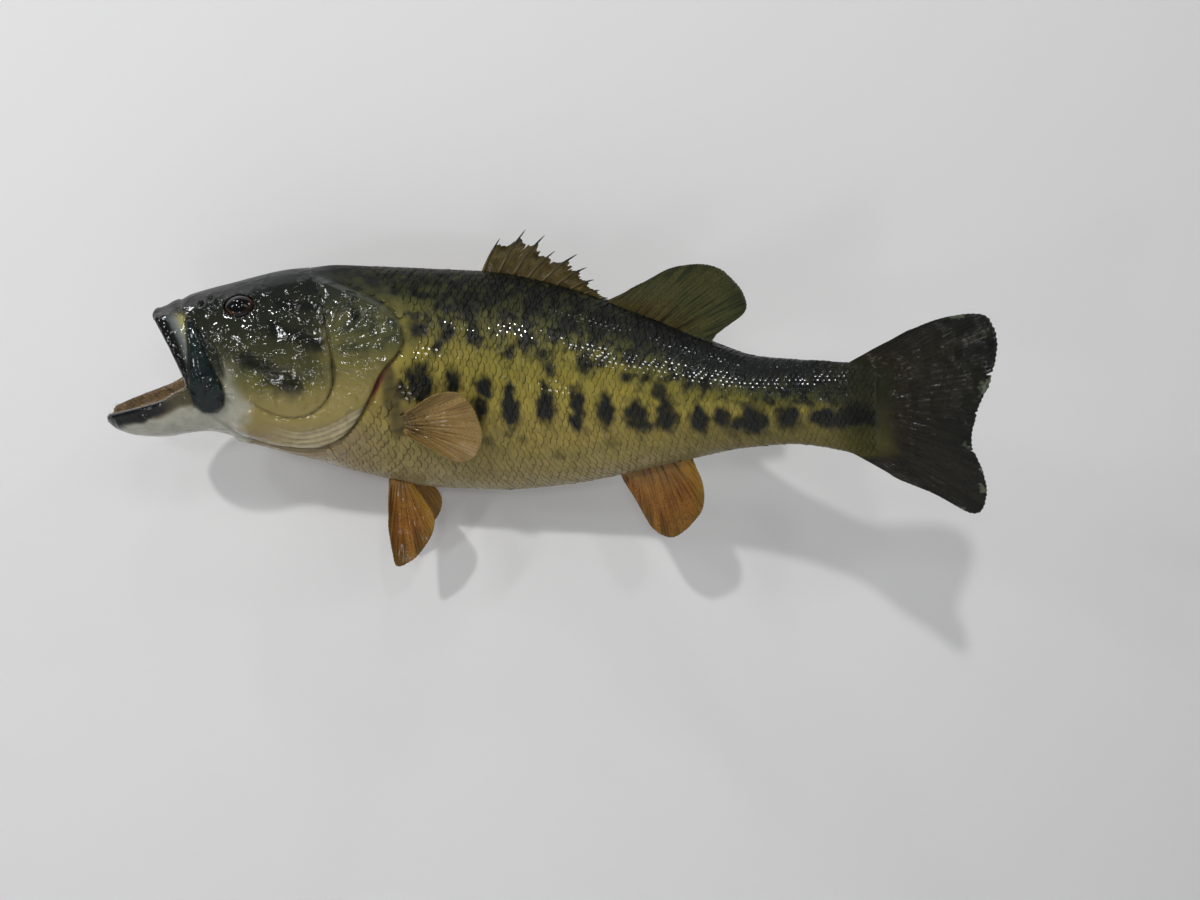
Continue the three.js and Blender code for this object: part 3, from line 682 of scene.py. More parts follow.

# %% [markdown]
# Every marking is a number from 0 to 1. Distances to edges and centres are broken by noise and then softened,
# which gives sprayed edges. The line marking is painted shade: dark lines in the creases of the gill cover
# and cheek, in the valleys between the folds below it, round the maxilla and at the lids. The last ones say
# how glossy a place is, and where the bare strip behind the gills is brown, partly its flesh's colour and
# partly painted shade round the pectoral fin's root.

# %% Markings
def markings(points):
    """The pattern at points of the straight fish, each value from 0 to 1."""
    s, y, z = np.asarray(points, float).T
    part = flesh_parts(s, y, z)
    angle, radius, inside, rim, shown = gill_bands(s, z)
    wide, near, rag, fine = (value_noise(points, size, size) for size in (13, 5, 3, 2))
    heights = (belly(s), blotch_line(s), dark_line(s), back(s))
    rise = [np.clip((z - low) / (high - low), 0, 1) for low, high in zip(heights, heights[1:])]
    mark = {"level": 0.5 * rise[0] + 0.25 * rise[1] + 0.25 * rise[2]}

    blotch = np.zeros(len(s))
    for x, height, half, tall in BLOTCHES:
        spread = np.hypot((s - x) / (1.1 * half), (z - height) / tall) + 0.26 * near + 0.26 * rag
        blotch = np.maximum(blotch, 1 - smooth(spread, 0.6, 1.5))
    mottle = np.zeros(len(s))
    for x, height, size in MOTTLES:
        spread = np.hypot((s - x) / size, (z - height) / size) + 0.3 * near + 0.2 * fine
        mottle = np.maximum(mottle, 0.95 * (1 - smooth(spread, 0.4, 1.25)) * (1 - 0.55 * (z < -20)))
    bars = np.zeros(len(s))
    for ax, az, bx, bz, size in CHEEK_BARS:
        spread = segment_distance(s, z, ax, az, bx, bz) / size + 0.4 * near + 0.3 * fine
        bars = np.maximum(bars, 0.9 * (1 - smooth(spread, 0.2, 1.7)))
    mark["blotch"] = np.maximum(blotch, np.maximum(mottle * (s > 120), bars * (s < 110)))

    mark["mouth"] = (1 - smooth(part["hollow"], 0.5, 1.6)) * (s < 90)
    outside = 1 - mark["mouth"]
    ahead = -part["gape"]
    paddle = outline_distance(s, z, PADDLE_OUTLINE)
    over = np.abs(y) > 0.8 * np.maximum(flank(s, z), jaw_flank(s, z))
    mark["bottle"] = (1 - smooth(paddle, -0.2, 0.9)) * over
    band = 4.2 + 1.6 * smooth(z, 10, 34)
    upper_lip = (1 - smooth(ahead - band + 0.5 * near, -0.4, 1.6)) * (z > 3) * (s < 30)
    upper_lip = upper_lip * (part["jaw"] > 1.5)
    jaw = 1 - smooth(part["jaw"], 0.8, 2.4)
    below_lip = jaw_lip(s) - z
    tall_band = 9.5 + 1.8 * near
    fading = 1 - 0.3 * smooth(s + 4 * near, 10, 22) - 0.7 * smooth(s + 4 * near, 28, 46)
    jaw_band = (1 - smooth(below_lip - tall_band, -2.6, 2.2)) * fading
    chin = 1 - smooth(s + 3 * near, -17, -9)
    mark["black"] = outside * np.maximum(upper_lip, jaw * np.maximum(jaw_band, chin)) * (1 - mark["bottle"])
    strip = smooth(ahead - band, 0, 1.2) * (z > 2) * (1 - smooth(s, 27, 30))
    strip = strip * (1 - smooth(z + near, 42, 49))
    mark["strip"] = outside * strip * (1 - mark["bottle"]) * (1 - jaw)
    # How far across the lip strip from the black lip: this sets the strip's painted shade and its colour.
    mark["fold"] = np.clip((ahead - band) / (1 + 8 * smooth(z, 8, 38)), 0, 1)
    crease = s - cheek_crease(z)
    hinge = smooth(paddle, 0, 0.8) * smooth(-crease, -0.3, 1.0) * window(z, 9, 15, 43, 49)
    mark["hinge"] = hinge * (s > 30) * over * (1 - mark["bottle"])
    corner = 1 - smooth(np.hypot((s - 50) / 11, (z + 7) / 12) + 0.2 * near, 0.5, 1.4)
    corner = corner + 0.6 * bump(s, 49, 4) * window(z, -2, 4, 12, 26)
    white = np.clip(jaw * (1 - jaw_band) + 0.8 * corner, 0, 1)
    mark["white"] = outside * white * (1 - mark["bottle"]) * (1 - mark["black"])
    past, wave = gill_folds(angle, radius)
    fold = window(-angle, 20, 45, 86, 116) * smooth(past, -0.6, 1.0)
    fold = fold * smooth(rim, -1.0, 0.4)
    mark["cream"] = shown * fold
    throat = smooth(-z, 12, 26) * window(s, 44, 62, 118, 150) * (1 - mark["cream"])
    mark["throat"] = throat * outside
    on_cover = shown * smooth(inside, -0.5, 0.8) * smooth(rim, -0.5, 0.5)
    low_cover = smooth(-z + 0.12 * (s - 100) + 5 * wide, -30, 6)
    low_cheek = 0.8 * (1 - on_cover) * shown * smooth(rim, -0.5, 0.5) * smooth(-z + 4 * wide, -14, 2)
    mark["gold"] = np.clip(on_cover * low_cover + low_cheek, 0, 1)
    mark["cover"] = on_cover
    mark["red"] = bump(angle, -19, 13) * window(rim, -4.2, -2.2, -0.4, 0.4)
    # Painted shade: dark lines along the gill cover's creases and under its rear edge, in the folds' valleys,
    # in the cheek's crease, round the maxilla and at the lids.
    crisp = (0.35 + 0.65 * bump(angle, -18, 38)) * (1 + 0.4 * near)
    rear = (1 - 0.5 * smooth(angle, 0, 20)) * (1 - smooth(angle, 50, 72)) * (1 + 0.3 * near)
    line = bump(inside + 0.6 * near, 0.2, 0.8 + 0.9 * bump(angle, -24, 20)) * crisp
    line = np.maximum(line, 0.85 * bump(rim + 0.4 * near, -0.8, 0.9) * rear)
    painted_fold_shade = 0.5 * fold * (0.5 - 0.5 * wave)
    crease = 0.8 * bump(crease, 0, 0.7) * window(z, 8, 16, 46, 52)
    around = 0.8 * bump(paddle, 0.6, 0.7) * over
    painted_lid_shade = bump(eye_ring(s, z), EYE["radius"] - 1.5, 1.2)
    mark["line"] = np.clip(shown * np.maximum(line, painted_fold_shade) + crease + around + painted_lid_shade, 0, 1) * outside
    mark["stalk"] = smooth(s + 3 * wide, 434, 460)
    rising = mark["level"]
    trunk_gloss = 0.42 - 0.15 * (1 - smooth(rising, 0.1, 0.3))
    trunk_gloss = trunk_gloss - 0.3 * smooth(rising, 0.74, 0.82) * (1 - smooth(s, 300, 350))
    trunk_gloss = trunk_gloss + 0.5 * window(s, 330, 372, 450, 457) * smooth(rising, 0.7, 0.78)
    trunk_gloss = trunk_gloss * (1 - 0.5 * smooth(rising, 0.86, 0.94)) * (1 - smooth(s, 448, 458))
    head_gloss = np.maximum(1 - smooth(s, 96, 136), on_cover) * (1 - 0.25 * smooth(rising, 0.9, 0.97))
    mark["gloss"] = np.maximum(trunk_gloss, head_gloss)
    # Partly the bare flesh's brown, partly painted shade round the pectoral fin's root.
    bare = shoulder_distance(s, z) + 1.5 * near
    mark["bare_brown_and_shade"] = (1 - smooth(bare, 3, 8 + 2 * smooth(-z, -10, 10))) * smooth(-rim, 0.5, 2)
    return mark


mid_flank = markings(np.array([[236.0, -42, -7]]))
print("markings:", ", ".join(mid_flank))
print("blotch at station 236:", round(float(mid_flank["blotch"][0]), 2))

# %% [markdown]
# ## Making pieces
# Every visible piece is made the same way: its vertices are hung in the pose, it rides on the one
# body, and it says which solids it replaces. Shaders read a mesh through its attributes, so the
# straight place of each vertex and its markings are kept there.

# %% Pieces
def keep_values(piece, points, values):
    """Keeps the straight place of each vertex, and other values, as attributes of the mesh."""
    lie = piece.data.attributes.new("lie", "FLOAT_VECTOR", "POINT")
    lie.data.foreach_set("vector", np.asarray(points, np.float32).ravel())
    for name, numbers in values.items():
        layer = piece.data.attributes.new(name, "FLOAT", "POINT")
        layer.data.foreach_set("value", np.asarray(numbers, np.float32))


def make_piece(name, places, faces, finish, replaced=()):
    """A smooth-shaded mesh that rides on the mount."""
    mesh = bpy.data.meshes.new(name)
    mesh.from_pydata(places.tolist(), [], faces if isinstance(faces, list) else faces.tolist())
    mesh.polygons.foreach_set("use_smooth", np.ones(len(mesh.polygons), bool))
    piece = bpy.data.objects.new(name, mesh)
    bpy.context.scene.collection.objects.link(piece)
    mesh.materials.append(finish)
    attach(piece, "root")
    if replaced:
        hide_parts(*replaced)
    return piece


print("every piece will ride on the body: root")

# %% [markdown]
# ## Shader maths
# A finish is a tree of nodes. One small class wraps a socket so that sums can be written as
# sums, and another makes the nodes. Colours are given as the eye reads them, from 0 to 255, and
# are laid over each other as coats of paint are.

# %% Shader tools
class Value:
    """A number or a colour that varies over a surface: one socket of a shader tree."""

    def __init__(self, finish, socket):
        self.finish, self.socket = finish, socket

    def math(self, operation, *operands, clamp=False):
        settings = {"operation": operation, "use_clamp": clamp}
        node = self.finish.node("ShaderNodeMath", settings, dict(enumerate(operands)))
        return Value(self.finish, node.outputs[0])

    def __add__(self, other):
        return self.math("ADD", self, other)

    def __sub__(self, other):
        return self.math("SUBTRACT", self, other)

    def __rsub__(self, other):
        return self.math("SUBTRACT", other, self)

    def __mul__(self, other):
        return self.math("MULTIPLY", self, other)

    def held(self):
        """Held between 0 and 1."""
        return self.math("ADD", self, 0.0, clamp=True)

    def step(self, low, high):
        """0 below low, 1 above high, and a soft step between."""
        node = self.finish.node(
            "ShaderNodeMapRange", {"interpolation_type": "SMOOTHSTEP"},
            {"Value": self, "From Min": low, "From Max": high},
        )
        return Value(self.finish, node.outputs["Result"])

    def band(self, rise_from, rise_to, fall_from, fall_to):
        """1 between two soft steps, and 0 outside them."""
        return self.step(rise_from, rise_to) * (1 - self.step(fall_from, fall_to))


print("a value knows how to", ", ".join(name for name in vars(Value) if "_" not in name))

# %% [markdown]
# A finish starts as a plain Principled material. Its methods add nodes and give back their
# outputs, and lay() covers the colour so far with another, wherever a share is high.

# %% Finishes
def paint(colour):
    """A colour as the eye reads it, turned into light. Anything but a tuple stays as it is."""
    if not isinstance(colour, tuple):
        return colour
    share = np.array(colour) / 255
    light = np.where(share <= 0.04045, share / 12.92, ((share + 0.055) / 1.055) ** 2.4)
    return [*light, 1.0]


class Finish:
    """A material under construction. Its colour is what has been laid on so far."""

    def __init__(self, name, **constants):
        self.material = bpy.data.materials.new(name)
        self.material.use_nodes = True
        self.tree = self.material.node_tree
        self.shader = self.tree.nodes["Principled BSDF"]
        self.colour = None
        self.wear(**constants)

    def wear(self, **sockets):
        for socket, value in sockets.items():
            self.plug(self.shader.inputs[socket.replace("_", " ")], value)
        return self.material

    def plug(self, socket, value):
        if isinstance(value, Value):
            self.tree.links.new(value.socket, socket)
        else:
            socket.default_value = value

    def node(self, kind, settings=None, inputs=None):
        node = self.tree.nodes.new(kind)
        for key, value in (settings or {}).items():
            setattr(node, key, value)
        for key, value in (inputs or {}).items():
            self.plug(node.inputs[key], value)
        return node

    def attribute(self, name):
        node = self.node("ShaderNodeAttribute", {"attribute_name": name})
        return Value(self, node.outputs["Vector" if name == "lie" else "Fac"])

    def place(self):
        """The place on the object, in metres."""
        return Value(self, self.node("ShaderNodeTexCoord").outputs["Object"])

    def noise(self, where, size, detail=3.0, stretch=(1, 1, 1)):
        """Noise from 0 to 1 with blobs of about size, in the units of where."""
        spread = self.node(
            "ShaderNodeVectorMath", {"operation": "MULTIPLY"},
            {0: where, 1: [1 / (size * k) for k in stretch]},
        )
        inputs = {"Vector": Value(self, spread.outputs[0]), "Scale": 1.0, "Detail": detail}
        return Value(self, self.node("ShaderNodeTexNoise", None, inputs).outputs["Fac"])

    def ramp(self, value, *stops):
        """Colours along a value. Each stop is a place and a colour, and they rise."""
        node = self.node("ShaderNodeValToRGB", None, {"Fac": value})
        marks = node.color_ramp.elements
        for place, _ in stops[2:]:
            marks.new(place)
        for mark, (place, colour) in zip(marks, stops):
            mark.position, mark.color = place, paint(colour)
        return Value(self, node.outputs["Color"])

    def mix(self, share, first, second, blend="MIX"):
        node = self.node(
            "ShaderNodeMix", {"data_type": "RGBA", "blend_type": blend},
            {0: share, 6: paint(first), 7: paint(second)},
        )
        return Value(self, node.outputs[2])

    def lay(self, share, colour, blend="MIX"):
        """Lays a colour over what is there. The share is a value or the name of a marking."""
        share = self.attribute(share) if isinstance(share, str) else share
        self.colour = self.mix(share, self.colour, colour, blend)

    def bumps(self, *layers):
        """Stacks bumps, each a height and how many metres high it is, into the Normal."""
        inputs = {"Strength": 1.0}
        for height, metres in layers:
            inputs.update(Height=height, Distance=metres)
            inputs["Normal"] = Value(self, self.node("ShaderNodeBump", None, inputs).outputs[0])
        self.plug(self.shader.inputs["Normal"], inputs["Normal"])


print("middle grey as light:", round(float(paint((128, 128, 128))[0]), 3))

# %% [markdown]
# ## The painted skin
# The painter laid an olive back over a yellow flank and a cream belly, then black blotches, dark
# cheek bars and lips. Each colour is laid on by its marking, with noise to break the edges, and
# varnish makes it wet. Scales use the same paint, with a darker rim on each scale.

# %% Ground colours
GROUND = (  # belly to back
    (0.0, (146, 133, 100)), (0.12, (138, 124, 79)), (0.25, (134, 120, 67)),
    (0.40, (140, 124, 63)), (0.54, (140, 127, 56)), (0.64, (122, 113, 50)),
    (0.73, (80, 78, 38)), (0.81, (48, 50, 30)), (1.0, (28, 30, 23)),
)
FACE = (  # throat to crown
    (0.0, (140, 124, 94)), (0.3, (124, 112, 62)), (0.42, (98, 94, 48)), (0.54, (72, 71, 44)),
    (0.70, (46, 47, 33)), (0.9, (26, 29, 24)), (1.0, (20, 22, 20)),
)
PLATE = ((0.3, (132, 120, 68)), (0.5, (112, 106, 58)), (0.62, (84, 84, 54)), (0.8, (46, 50, 40)))
STALK = ((0.1, (66, 63, 29)), (0.45, (46, 45, 25)), (0.9, (34, 35, 22)))
# The lip strip: painted shade next to the black lip, then the strip's own pale grey and cream rim.
LIP_STRIP_SHADE_TO_CREAM = ((0.0, (44, 48, 50)), (0.3, (92, 98, 98)), (0.65, (138, 140, 124)), (0.9, (164, 156, 98)))


def lay_ground(finish, level, near, wide, station, streak):
    """Flank, shoulder, face, gill cover and stalk, each over the one before."""
    finish.colour = finish.ramp(level, *GROUND)
    finish.lay(streak.step(0.5, 0.7) * level.band(0.22, 0.36, 0.6, 0.72) * 0.4, (152, 132, 46))
    finish.lay(near.step(0.46, 0.6) * level.step(0.6, 0.74) * 0.85, (17, 18, 15))
    moss = (1 - near.step(0.34, 0.46)) * level.step(0.76, 0.84)
    finish.lay(moss * 0.4, (66, 62, 28))
    shoulder = (1 - station.step(150.0, 205.0)) * level.band(0.5, 0.6, 0.74, 0.82)
    finish.lay(shoulder * wide.step(0.3, 0.6) * 0.6, (70, 70, 38))
    finish.lay(station.step(290.0, 420.0) * (1 - level.step(0.4, 0.56)) * 0.8, (92, 84, 38))
    face = finish.mix(
        wide.step(0.4, 0.7) * level.step(0.35, 0.55) * 0.35, finish.ramp(level, *FACE), (28, 37, 33),
    )
    finish.lay(1 - station.step(92.0, 130.0), face)
    plate = finish.mix(
        near.step(0.45, 0.65) * level.step(0.4, 0.6) * 0.6, finish.ramp(level, *PLATE), (44, 48, 40),
    )
    finish.lay(finish.attribute("cover") * 0.9, plate)
    finish.lay(station.step(280.0, 360.0) * level.step(0.78, 0.9), (18, 20, 18))
    finish.lay((finish.attribute("gold") * (near * 0.7 + 0.35)).held(), (150, 134, 78))
    finish.lay(finish.attribute("throat") * 0.85, (140, 123, 88))
    finish.lay("stalk", finish.ramp(level, *STALK))


print("the flank's ground has", len(GROUND), "colours")

# %% [markdown]
# ## Marks, rims and varnish
# The marks come last, as they do on the bench, so that they stay dark. A scale's rim is darker
# only where the ground is light. Bumps of three sizes break the varnish's glints into specks.

# %% Skin paint
def lay_marks(finish, near, wide, ripple, grain):
    finish.lay("white", finish.mix(near, (132, 131, 118), (186, 185, 170)))
    finish.lay("cream", finish.mix(near, (158, 142, 102), (200, 188, 150)))
    # Painted shade on the lip strip next to the black lip, fading into its own colours.
    finish.lay("strip", finish.ramp(finish.attribute("fold") + (ripple - 0.5) * 0.2, *LIP_STRIP_SHADE_TO_CREAM))
    finish.lay((finish.attribute("blotch") * (near * 0.4 + 0.8)).held(), (20, 22, 18))
    finish.lay("black", (14, 15, 16))
    finish.lay(finish.attribute("hinge") * 0.8, (24, 29, 26))
    finish.lay("bottle", finish.mix(wide.step(0.4, 0.65), (14, 20, 22), (22, 36, 34)))
    # Brown of the bare strip, partly painted shade round the pectoral fin's root.
    finish.lay((finish.attribute("bare_brown_and_shade") * (near * 0.6 + 0.5)).held(), (62, 54, 30))
    mouth = finish.mix(near, (104, 82, 58), (182, 156, 120))
    finish.lay("mouth", finish.mix(grain.step(0.5, 0.75) * 0.6, mouth, (62, 46, 32)))
    finish.lay("red", (96, 24, 22))
    # Painted shade in the creases and grooves, by the line marking.
    finish.lay(finish.attribute("line") * 0.85, (24, 23, 18))


def lay_rims(finish, lie, level, station):
    worn = finish.noise(lie, 16.0).step(0.4, 0.62)
    plain = (station.step(150.0, 220.0) + level.step(0.45, 0.6)).held() * (1 - finish.attribute("stalk"))
    plain = plain * (station.step(170.0, 260.0) * 0.4 + 0.6) * (1 - level.step(0.68, 0.8) * 0.7)
    rim = finish.attribute("edge").step(0.76, 1.0) * (worn * 0.26 + 0.03)
    finish.lay(rim * plain, (30, 29, 16))


def skin_finish(name, scaled):
    finish = Finish(name, Coat_Roughness=0.025, Specular_IOR_Level=0.12 if scaled else 0.38)
    lie = finish.attribute("lie")
    wide, near = finish.noise(lie, 20.0), finish.noise(lie, 6.5)
    ripple, grain = finish.noise(lie, 3.2, 1.0), finish.noise(lie, 1.2, 4.0)
    streak = finish.noise(lie, 3.0, 4.0, (2.4, 1, 1))
    level = finish.attribute("level") + (wide - 0.5) * 0.2 + (near - 0.5) * 0.14 + (grain - 0.5) * 0.05
    station = Value(finish, finish.node("ShaderNodeSeparateXYZ", None, {0: lie}).outputs[0])
    lay_ground(finish, level, near, wide, station, streak)
    if scaled:
        shade = finish.ramp(finish.attribute("tone"), (0.0, (160, 160, 160)), (1.0, (210, 210, 205)))
        finish.lay(0.4, shade, "OVERLAY")
    lay_marks(finish, near, wide, ripple, grain)
    patch = finish.noise(lie, 12.0, 1.0).step(0.42, 0.6)
    swell = finish.noise(lie, 5.0, 0.0) * (patch * 0.6 + 0.4)
    finish.bumps((swell, 0.0008), (ripple * (patch * 0.8 + 0.2), 0.0007), (grain, 0.00004))
    gloss = finish.attribute("gloss")
    if scaled:
        lay_rims(finish, lie, level, station)
        gloss = (gloss * (near.step(0.3, 0.6) * 0.7 + 0.5)).held()
        finish.wear(Roughness=(0.5 - gloss * 0.3).held(), Coat_Weight=gloss * 0.75)
    else:
        gloss = ((gloss - 0.5) * 2.0).held()
        finish.wear(Roughness=(0.85 - gloss * 0.79).held())
    return finish.wear(Base_Color=finish.colour)


skin_paint = skin_finish("painted_skin", scaled=False)
scale_paint = skin_finish("painted_scales", scaled=True)
print("skin paint has", len(skin_paint.node_tree.nodes), "nodes")

# %% [markdown]
# ## The skin piece
# The skin replaces every node of flesh, so no seam shows between head, jaws, plates and trunk.

# %% Skin
skin = make_piece(
    "skin", hang(skin_points), skin_quads, skin_paint,
    ["head", "upper_jaw", "lower_jaw", "maxilla_left", "maxilla_right", "gill_cover_left",
     "gill_cover_right", "trunk", "tail_stalk"],
)
keep_values(skin, skin_points, markings(skin_points))
print("skin has", len(skin_quads), "quads")

# %% [markdown]
# ## Tooth pads
# A bass has no fangs. The inner rim of its lower jaw carries a brush of tiny teeth, which dries to a
# rough tan band on a mount. Each tooth is a small cone that stands on the skin inside the lip and
# leans to the throat.

# %% Teeth
TOOTH = {"sides": 5, "radius": 0.36, "sunk": 0.3, "shortest": 0.7, "longest": 1.5, "spread": 0.22}
TOOTH_LEAN = np.array([0.45, 0, 0.25])


def unit(vectors):
    return vectors / np.maximum(np.linalg.norm(vectors, axis=-1, keepdims=True), 1e-9)


def tooth_cones():
    s, _, z = skin_points.T
    roots = skin_points[(np.abs(z - jaw_lip(s) + 2.4) < 3.4) & (s > -20) & (s < 44)]
    roots = roots[markings(roots)["mouth"] > 0.6]
    draw = np.random.default_rng(11)
    up = unit(gradient(flesh, roots))
    lean = TOOTH_LEAN + draw.normal(0, TOOTH["spread"], roots.shape)
    tips = roots + (up + lean) * draw.uniform(TOOTH["shortest"], TOOTH["longest"], len(roots))[:, None]
    aside = unit(np.cross(up, [0.31, 0.2, 0.93]))
    across = np.cross(up, aside)
    sides = TOOTH["sides"]
    turn = (np.arange(sides) * 2 * math.pi / sides)[None, :, None]
    around = np.cos(turn) * aside[:, None] + np.sin(turn) * across[:, None]
    ring = (roots - TOOTH["sunk"] * up)[:, None] + TOOTH["radius"] * around
    points = np.concatenate([ring, tips[:, None]], axis=1).reshape(-1, 3)
    faces = []
    for start in range(0, len(points), sides + 1):
        faces += [(start + k, start + (k + 1) % sides, start + sides) for k in range(sides)]
        faces.append(tuple(start + k for k in reversed(range(sides))))
    return points, faces


def tooth_finish():
    finish = Finish("tooth_paint", Coat_Weight=0.3, Coat_Roughness=0.1, Specular_IOR_Level=0.2)
    tone = finish.noise(finish.place(), 0.004)
    colour = finish.mix(tone.step(0.35, 0.65), (96, 78, 52), (184, 160, 120))
    return finish.wear(Base_Color=colour, Roughness=(tone * 0.3 + 0.3).held())


tooth_points, tooth_faces = tooth_cones()
make_piece("tooth_pads", hang(tooth_points), tooth_faces, tooth_finish())
print("teeth:", len(tooth_points) // (TOOTH["sides"] + 1))

# %% [markdown]
# ## Scales
# Real scales sit in pockets in rows that follow the lateral line, each row half a scale behind
# the next, and each scale's rear edge lies over the ones behind it. Instances would be dropped on
# export, so every scale is a small closed disc of its own in a few joined meshes. The discs are
# laid out on a chart of the flank: station along the fish, and arc length from the lateral line.

# %% Chart of the flank
CHART_FROM, CHART_TO, CHART_STEP = 80, 476, 2.0
ARC_REACH = 150
chart_stations = np.arange(CHART_FROM, CHART_TO + 1, CHART_STEP)
chart_arcs = np.arange(-ARC_REACH, ARC_REACH + 1.0)


def signed_power(value, power):
    return np.sign(value) * np.abs(value) ** power


def chart_flank():
    """For each station, the section's y and z at every millimetre of arc, and where it ends."""
    turn = np.radians(np.linspace(-125, 125, 900))
    sides, heights, ends = [], [], []
    for s in chart_stations:
        power, rise = section(s, turn > 0)
        y = girth(s) * stalk_taper(s) * signed_power(np.cos(turn), 2 / power)
        z = middle(s) + rise * signed_power(np.sin(turn), 2 / power)
        arc = np.concatenate([[0], np.cumsum(np.hypot(np.diff(y), np.diff(z)))])
        facing = np.abs(turn) <= math.pi / 2
        arc -= np.interp(lateral_line(s), z[facing], arc[facing])
        sides.append(np.interp(chart_arcs, arc, y))
        heights.append(np.interp(chart_arcs, arc, z))
        ends.append((arc[facing][0], arc[facing][-1]))
    return np.array(sides), np.array(heights), np.array(ends)


chart_y, chart_z, chart_ends = chart_flank()


def read_chart(chart, s, arc):
    row = np.clip((s - CHART_FROM) / CHART_STEP, 0, len(chart) - 1.001)
    column = np.clip(arc + ARC_REACH, 0, chart.shape[1] - 1.001)
    i, j = row.astype(int), column.astype(int)
    u, v = row - i, column - j
    low, high = (chart[row, j] * (1 - v) + chart[row, j + 1] * v for row in (i, i + 1))
    return low * (1 - u) + high * u


def flank_point(s, arc, side):
    return np.stack([s, side * read_chart(chart_y, s, arc), read_chart(chart_z, s, arc)], axis=-1)


def flank_normal(s, arc, side):
    along = flank_point(s + 1.5, arc, side) - flank_point(s - 1.5, arc, side)
    around = flank_point(s, arc + 1.5, side) - flank_point(s, arc - 1.5, side)
    return unit(side * np.cross(around, along))


print("flank at station 200 measures", round(float(np.ptp(chart_ends[60])), 1), "mm from belly to back")

# %% [markdown]
# A guide gives the spacing of the scales, widest behind the gill cover. Walking along the fish and
# counting one scale per spacing places the columns, and every other row is moved by half a scale.
# None grow on the head, on the gill cover, at a fin's root or on the bare strip behind the gills.

# %% Where the scales grow
scale_pitch = guide((84, 3.4), (115, 4.0), (150, 5.0), (250, 4.8), (350, 3.8), (462, 2.9))
WALK_STEP = 0.5
ROWS_EACH_WAY = 34
walk = np.arange(88, 466, WALK_STEP)
count_along = np.concatenate([[0], np.cumsum(WALK_STEP / scale_pitch(walk[:-1] + WALK_STEP / 2))])
rng = np.random.default_rng(7)


def scale_roots(side):
    """Station, arc, row slope and pitch of every scale on one side of the fish."""
    made = []
    for row in range(-ROWS_EACH_WAY, ROWS_EACH_WAY + 1):
        spots = np.arange(0.5 * (row % 2), count_along[-1], 1.0)
        s = np.interp(spots, count_along, walk)
        pitch = scale_pitch(s)
        arc = row * pitch
        slope = row * (scale_pitch(s + 1) - scale_pitch(s - 1)) / 2
        low, high = (np.interp(s, chart_stations, chart_ends[:, k]) for k in (0, 1))
        keep = (arc > low + 0.15 * pitch) & (arc < high - 0.25 * pitch)
        made.append(np.stack([s, arc, slope, pitch], axis=1)[keep])
    roots = np.concatenate(made)
    place = flank_point(roots[:, 0], roots[:, 1], side)
    s, z = place[:, 0], place[:, 2]
    angle, _, _, rim, shown = gill_bands(s, z)
    on_plate = (rim > -4.4) & (shown > 0.05) & (angle < 80)
    on_head = (s < 92 + 0.25 * (76 - z) * (z > 40)) | ((z < 20) & (s < 104))
    on_root = np.hypot((s - FIN_ROOT["x"]) / 10.5, (z - FIN_ROOT["z"]) / 9.5) < 1
    return roots[~(on_plate | on_head | on_root | (shoulder_distance(s, z) < 4.5))]


print("along the fish there are", int(count_along[-1]), "scales")

# %% [markdown]
# One scale is a disc of three rings, wider than long, with its rear edge raised over its
# neighbours and its root sunk in the skin. A point below closes it. Each keeps a small patch of
# its own in the bake map, at its root's place on an unwrap of the flank.

# %% Scale discs
SECTORS = 16
RINGS = (0.42, 0.76, 1.0)


def scale_disc():
    """The disc's points as (along, across, ring) shares, and its triangles."""
    turn = np.arange(SECTORS) * 2 * math.pi / SECTORS
    points = [(0.0, 0.0, 0.0)]
    for ring in RINGS:
        points += [(ring * math.cos(a), ring * math.sin(a), ring) for a in turn]
    points.append((0.0, 0.0, -1.0))
    faces = []
    for k in range(SECTORS):
        after = (k + 1) % SECTORS
        faces.append((0, 1 + k, 1 + after))
        for ring in range(len(RINGS) - 1):
            a, b = 1 + ring * SECTORS, 1 + (ring + 1) * SECTORS
            faces += [(a + k, b + k, b + after), (a + k, b + after, a + after)]
        rim = 1 + (len(RINGS) - 1) * SECTORS
        faces.append((len(points) - 1, rim + after, rim + k))
    return np.array(points), np.array(faces)


disc, disc_faces = scale_disc()
SCALE = {"rear": 0.82, "front": 0.5, "half": 0.98, "lift": 0.24, "dome": 0.12, "flat": 0.04, "sunk": 0.4}
BAKE_PATCH = 0.003


def disc_shape(pitch, tilt, size):
    """Offsets along and across the lie, and height, of every disc point of every scale."""
    length = np.where(disc[:, 0] > 0, SCALE["rear"], SCALE["front"])
    along = disc[:, 0] * length * (pitch * size)[:, None]
    across = disc[:, 1] * SCALE["half"] * (pitch * size)[:, None]
    lift = (SCALE["lift"] + tilt[:, None]) * (along / pitch[:, None] + 0.5)
    dome = SCALE["dome"] * (1 - disc[:, 2] ** 2 - disc[:, 1] ** 2) - SCALE["flat"]
    height = np.where(disc[:, 2] < 0, -SCALE["sunk"], lift + dome)
    return along, across, height


def join_discs(name, places, straight, unwrap, tone):
    """One mesh from all the discs, with the straight place, tone and edge kept on each vertex."""
    count = len(places)
    faces = (disc_faces[None] + np.arange(count)[:, None, None] * len(disc)).reshape(-1, 3)
    piece = make_piece(name, places.reshape(-1, 3), faces, scale_paint)
    edge = np.tile(np.clip(disc[:, 2], 0, 1) * np.where(disc[:, 0] > -0.2, 1, 0.3), count)
    straight = straight.reshape(-1, 3)
    keep_values(piece, straight, {**markings(straight), "edge": edge, "tone": np.repeat(tone, len(disc))})
    layer = piece.data.uv_layers.new(name="OFBake")
    corners = unwrap[:, None] + disc[None, :, :2] * BAKE_PATCH / 2
    layer.data.foreach_set("uv", corners.reshape(-1, 2)[faces.ravel()].astype(np.float32).ravel())


print("a scale has", len(disc_faces), "triangles")

# %% [markdown]
# The scales of a side are joined into a fore and an aft piece, so that no mesh grows too large.
# Each scale gets a tilt, size and tone of its own, since real ones never match.

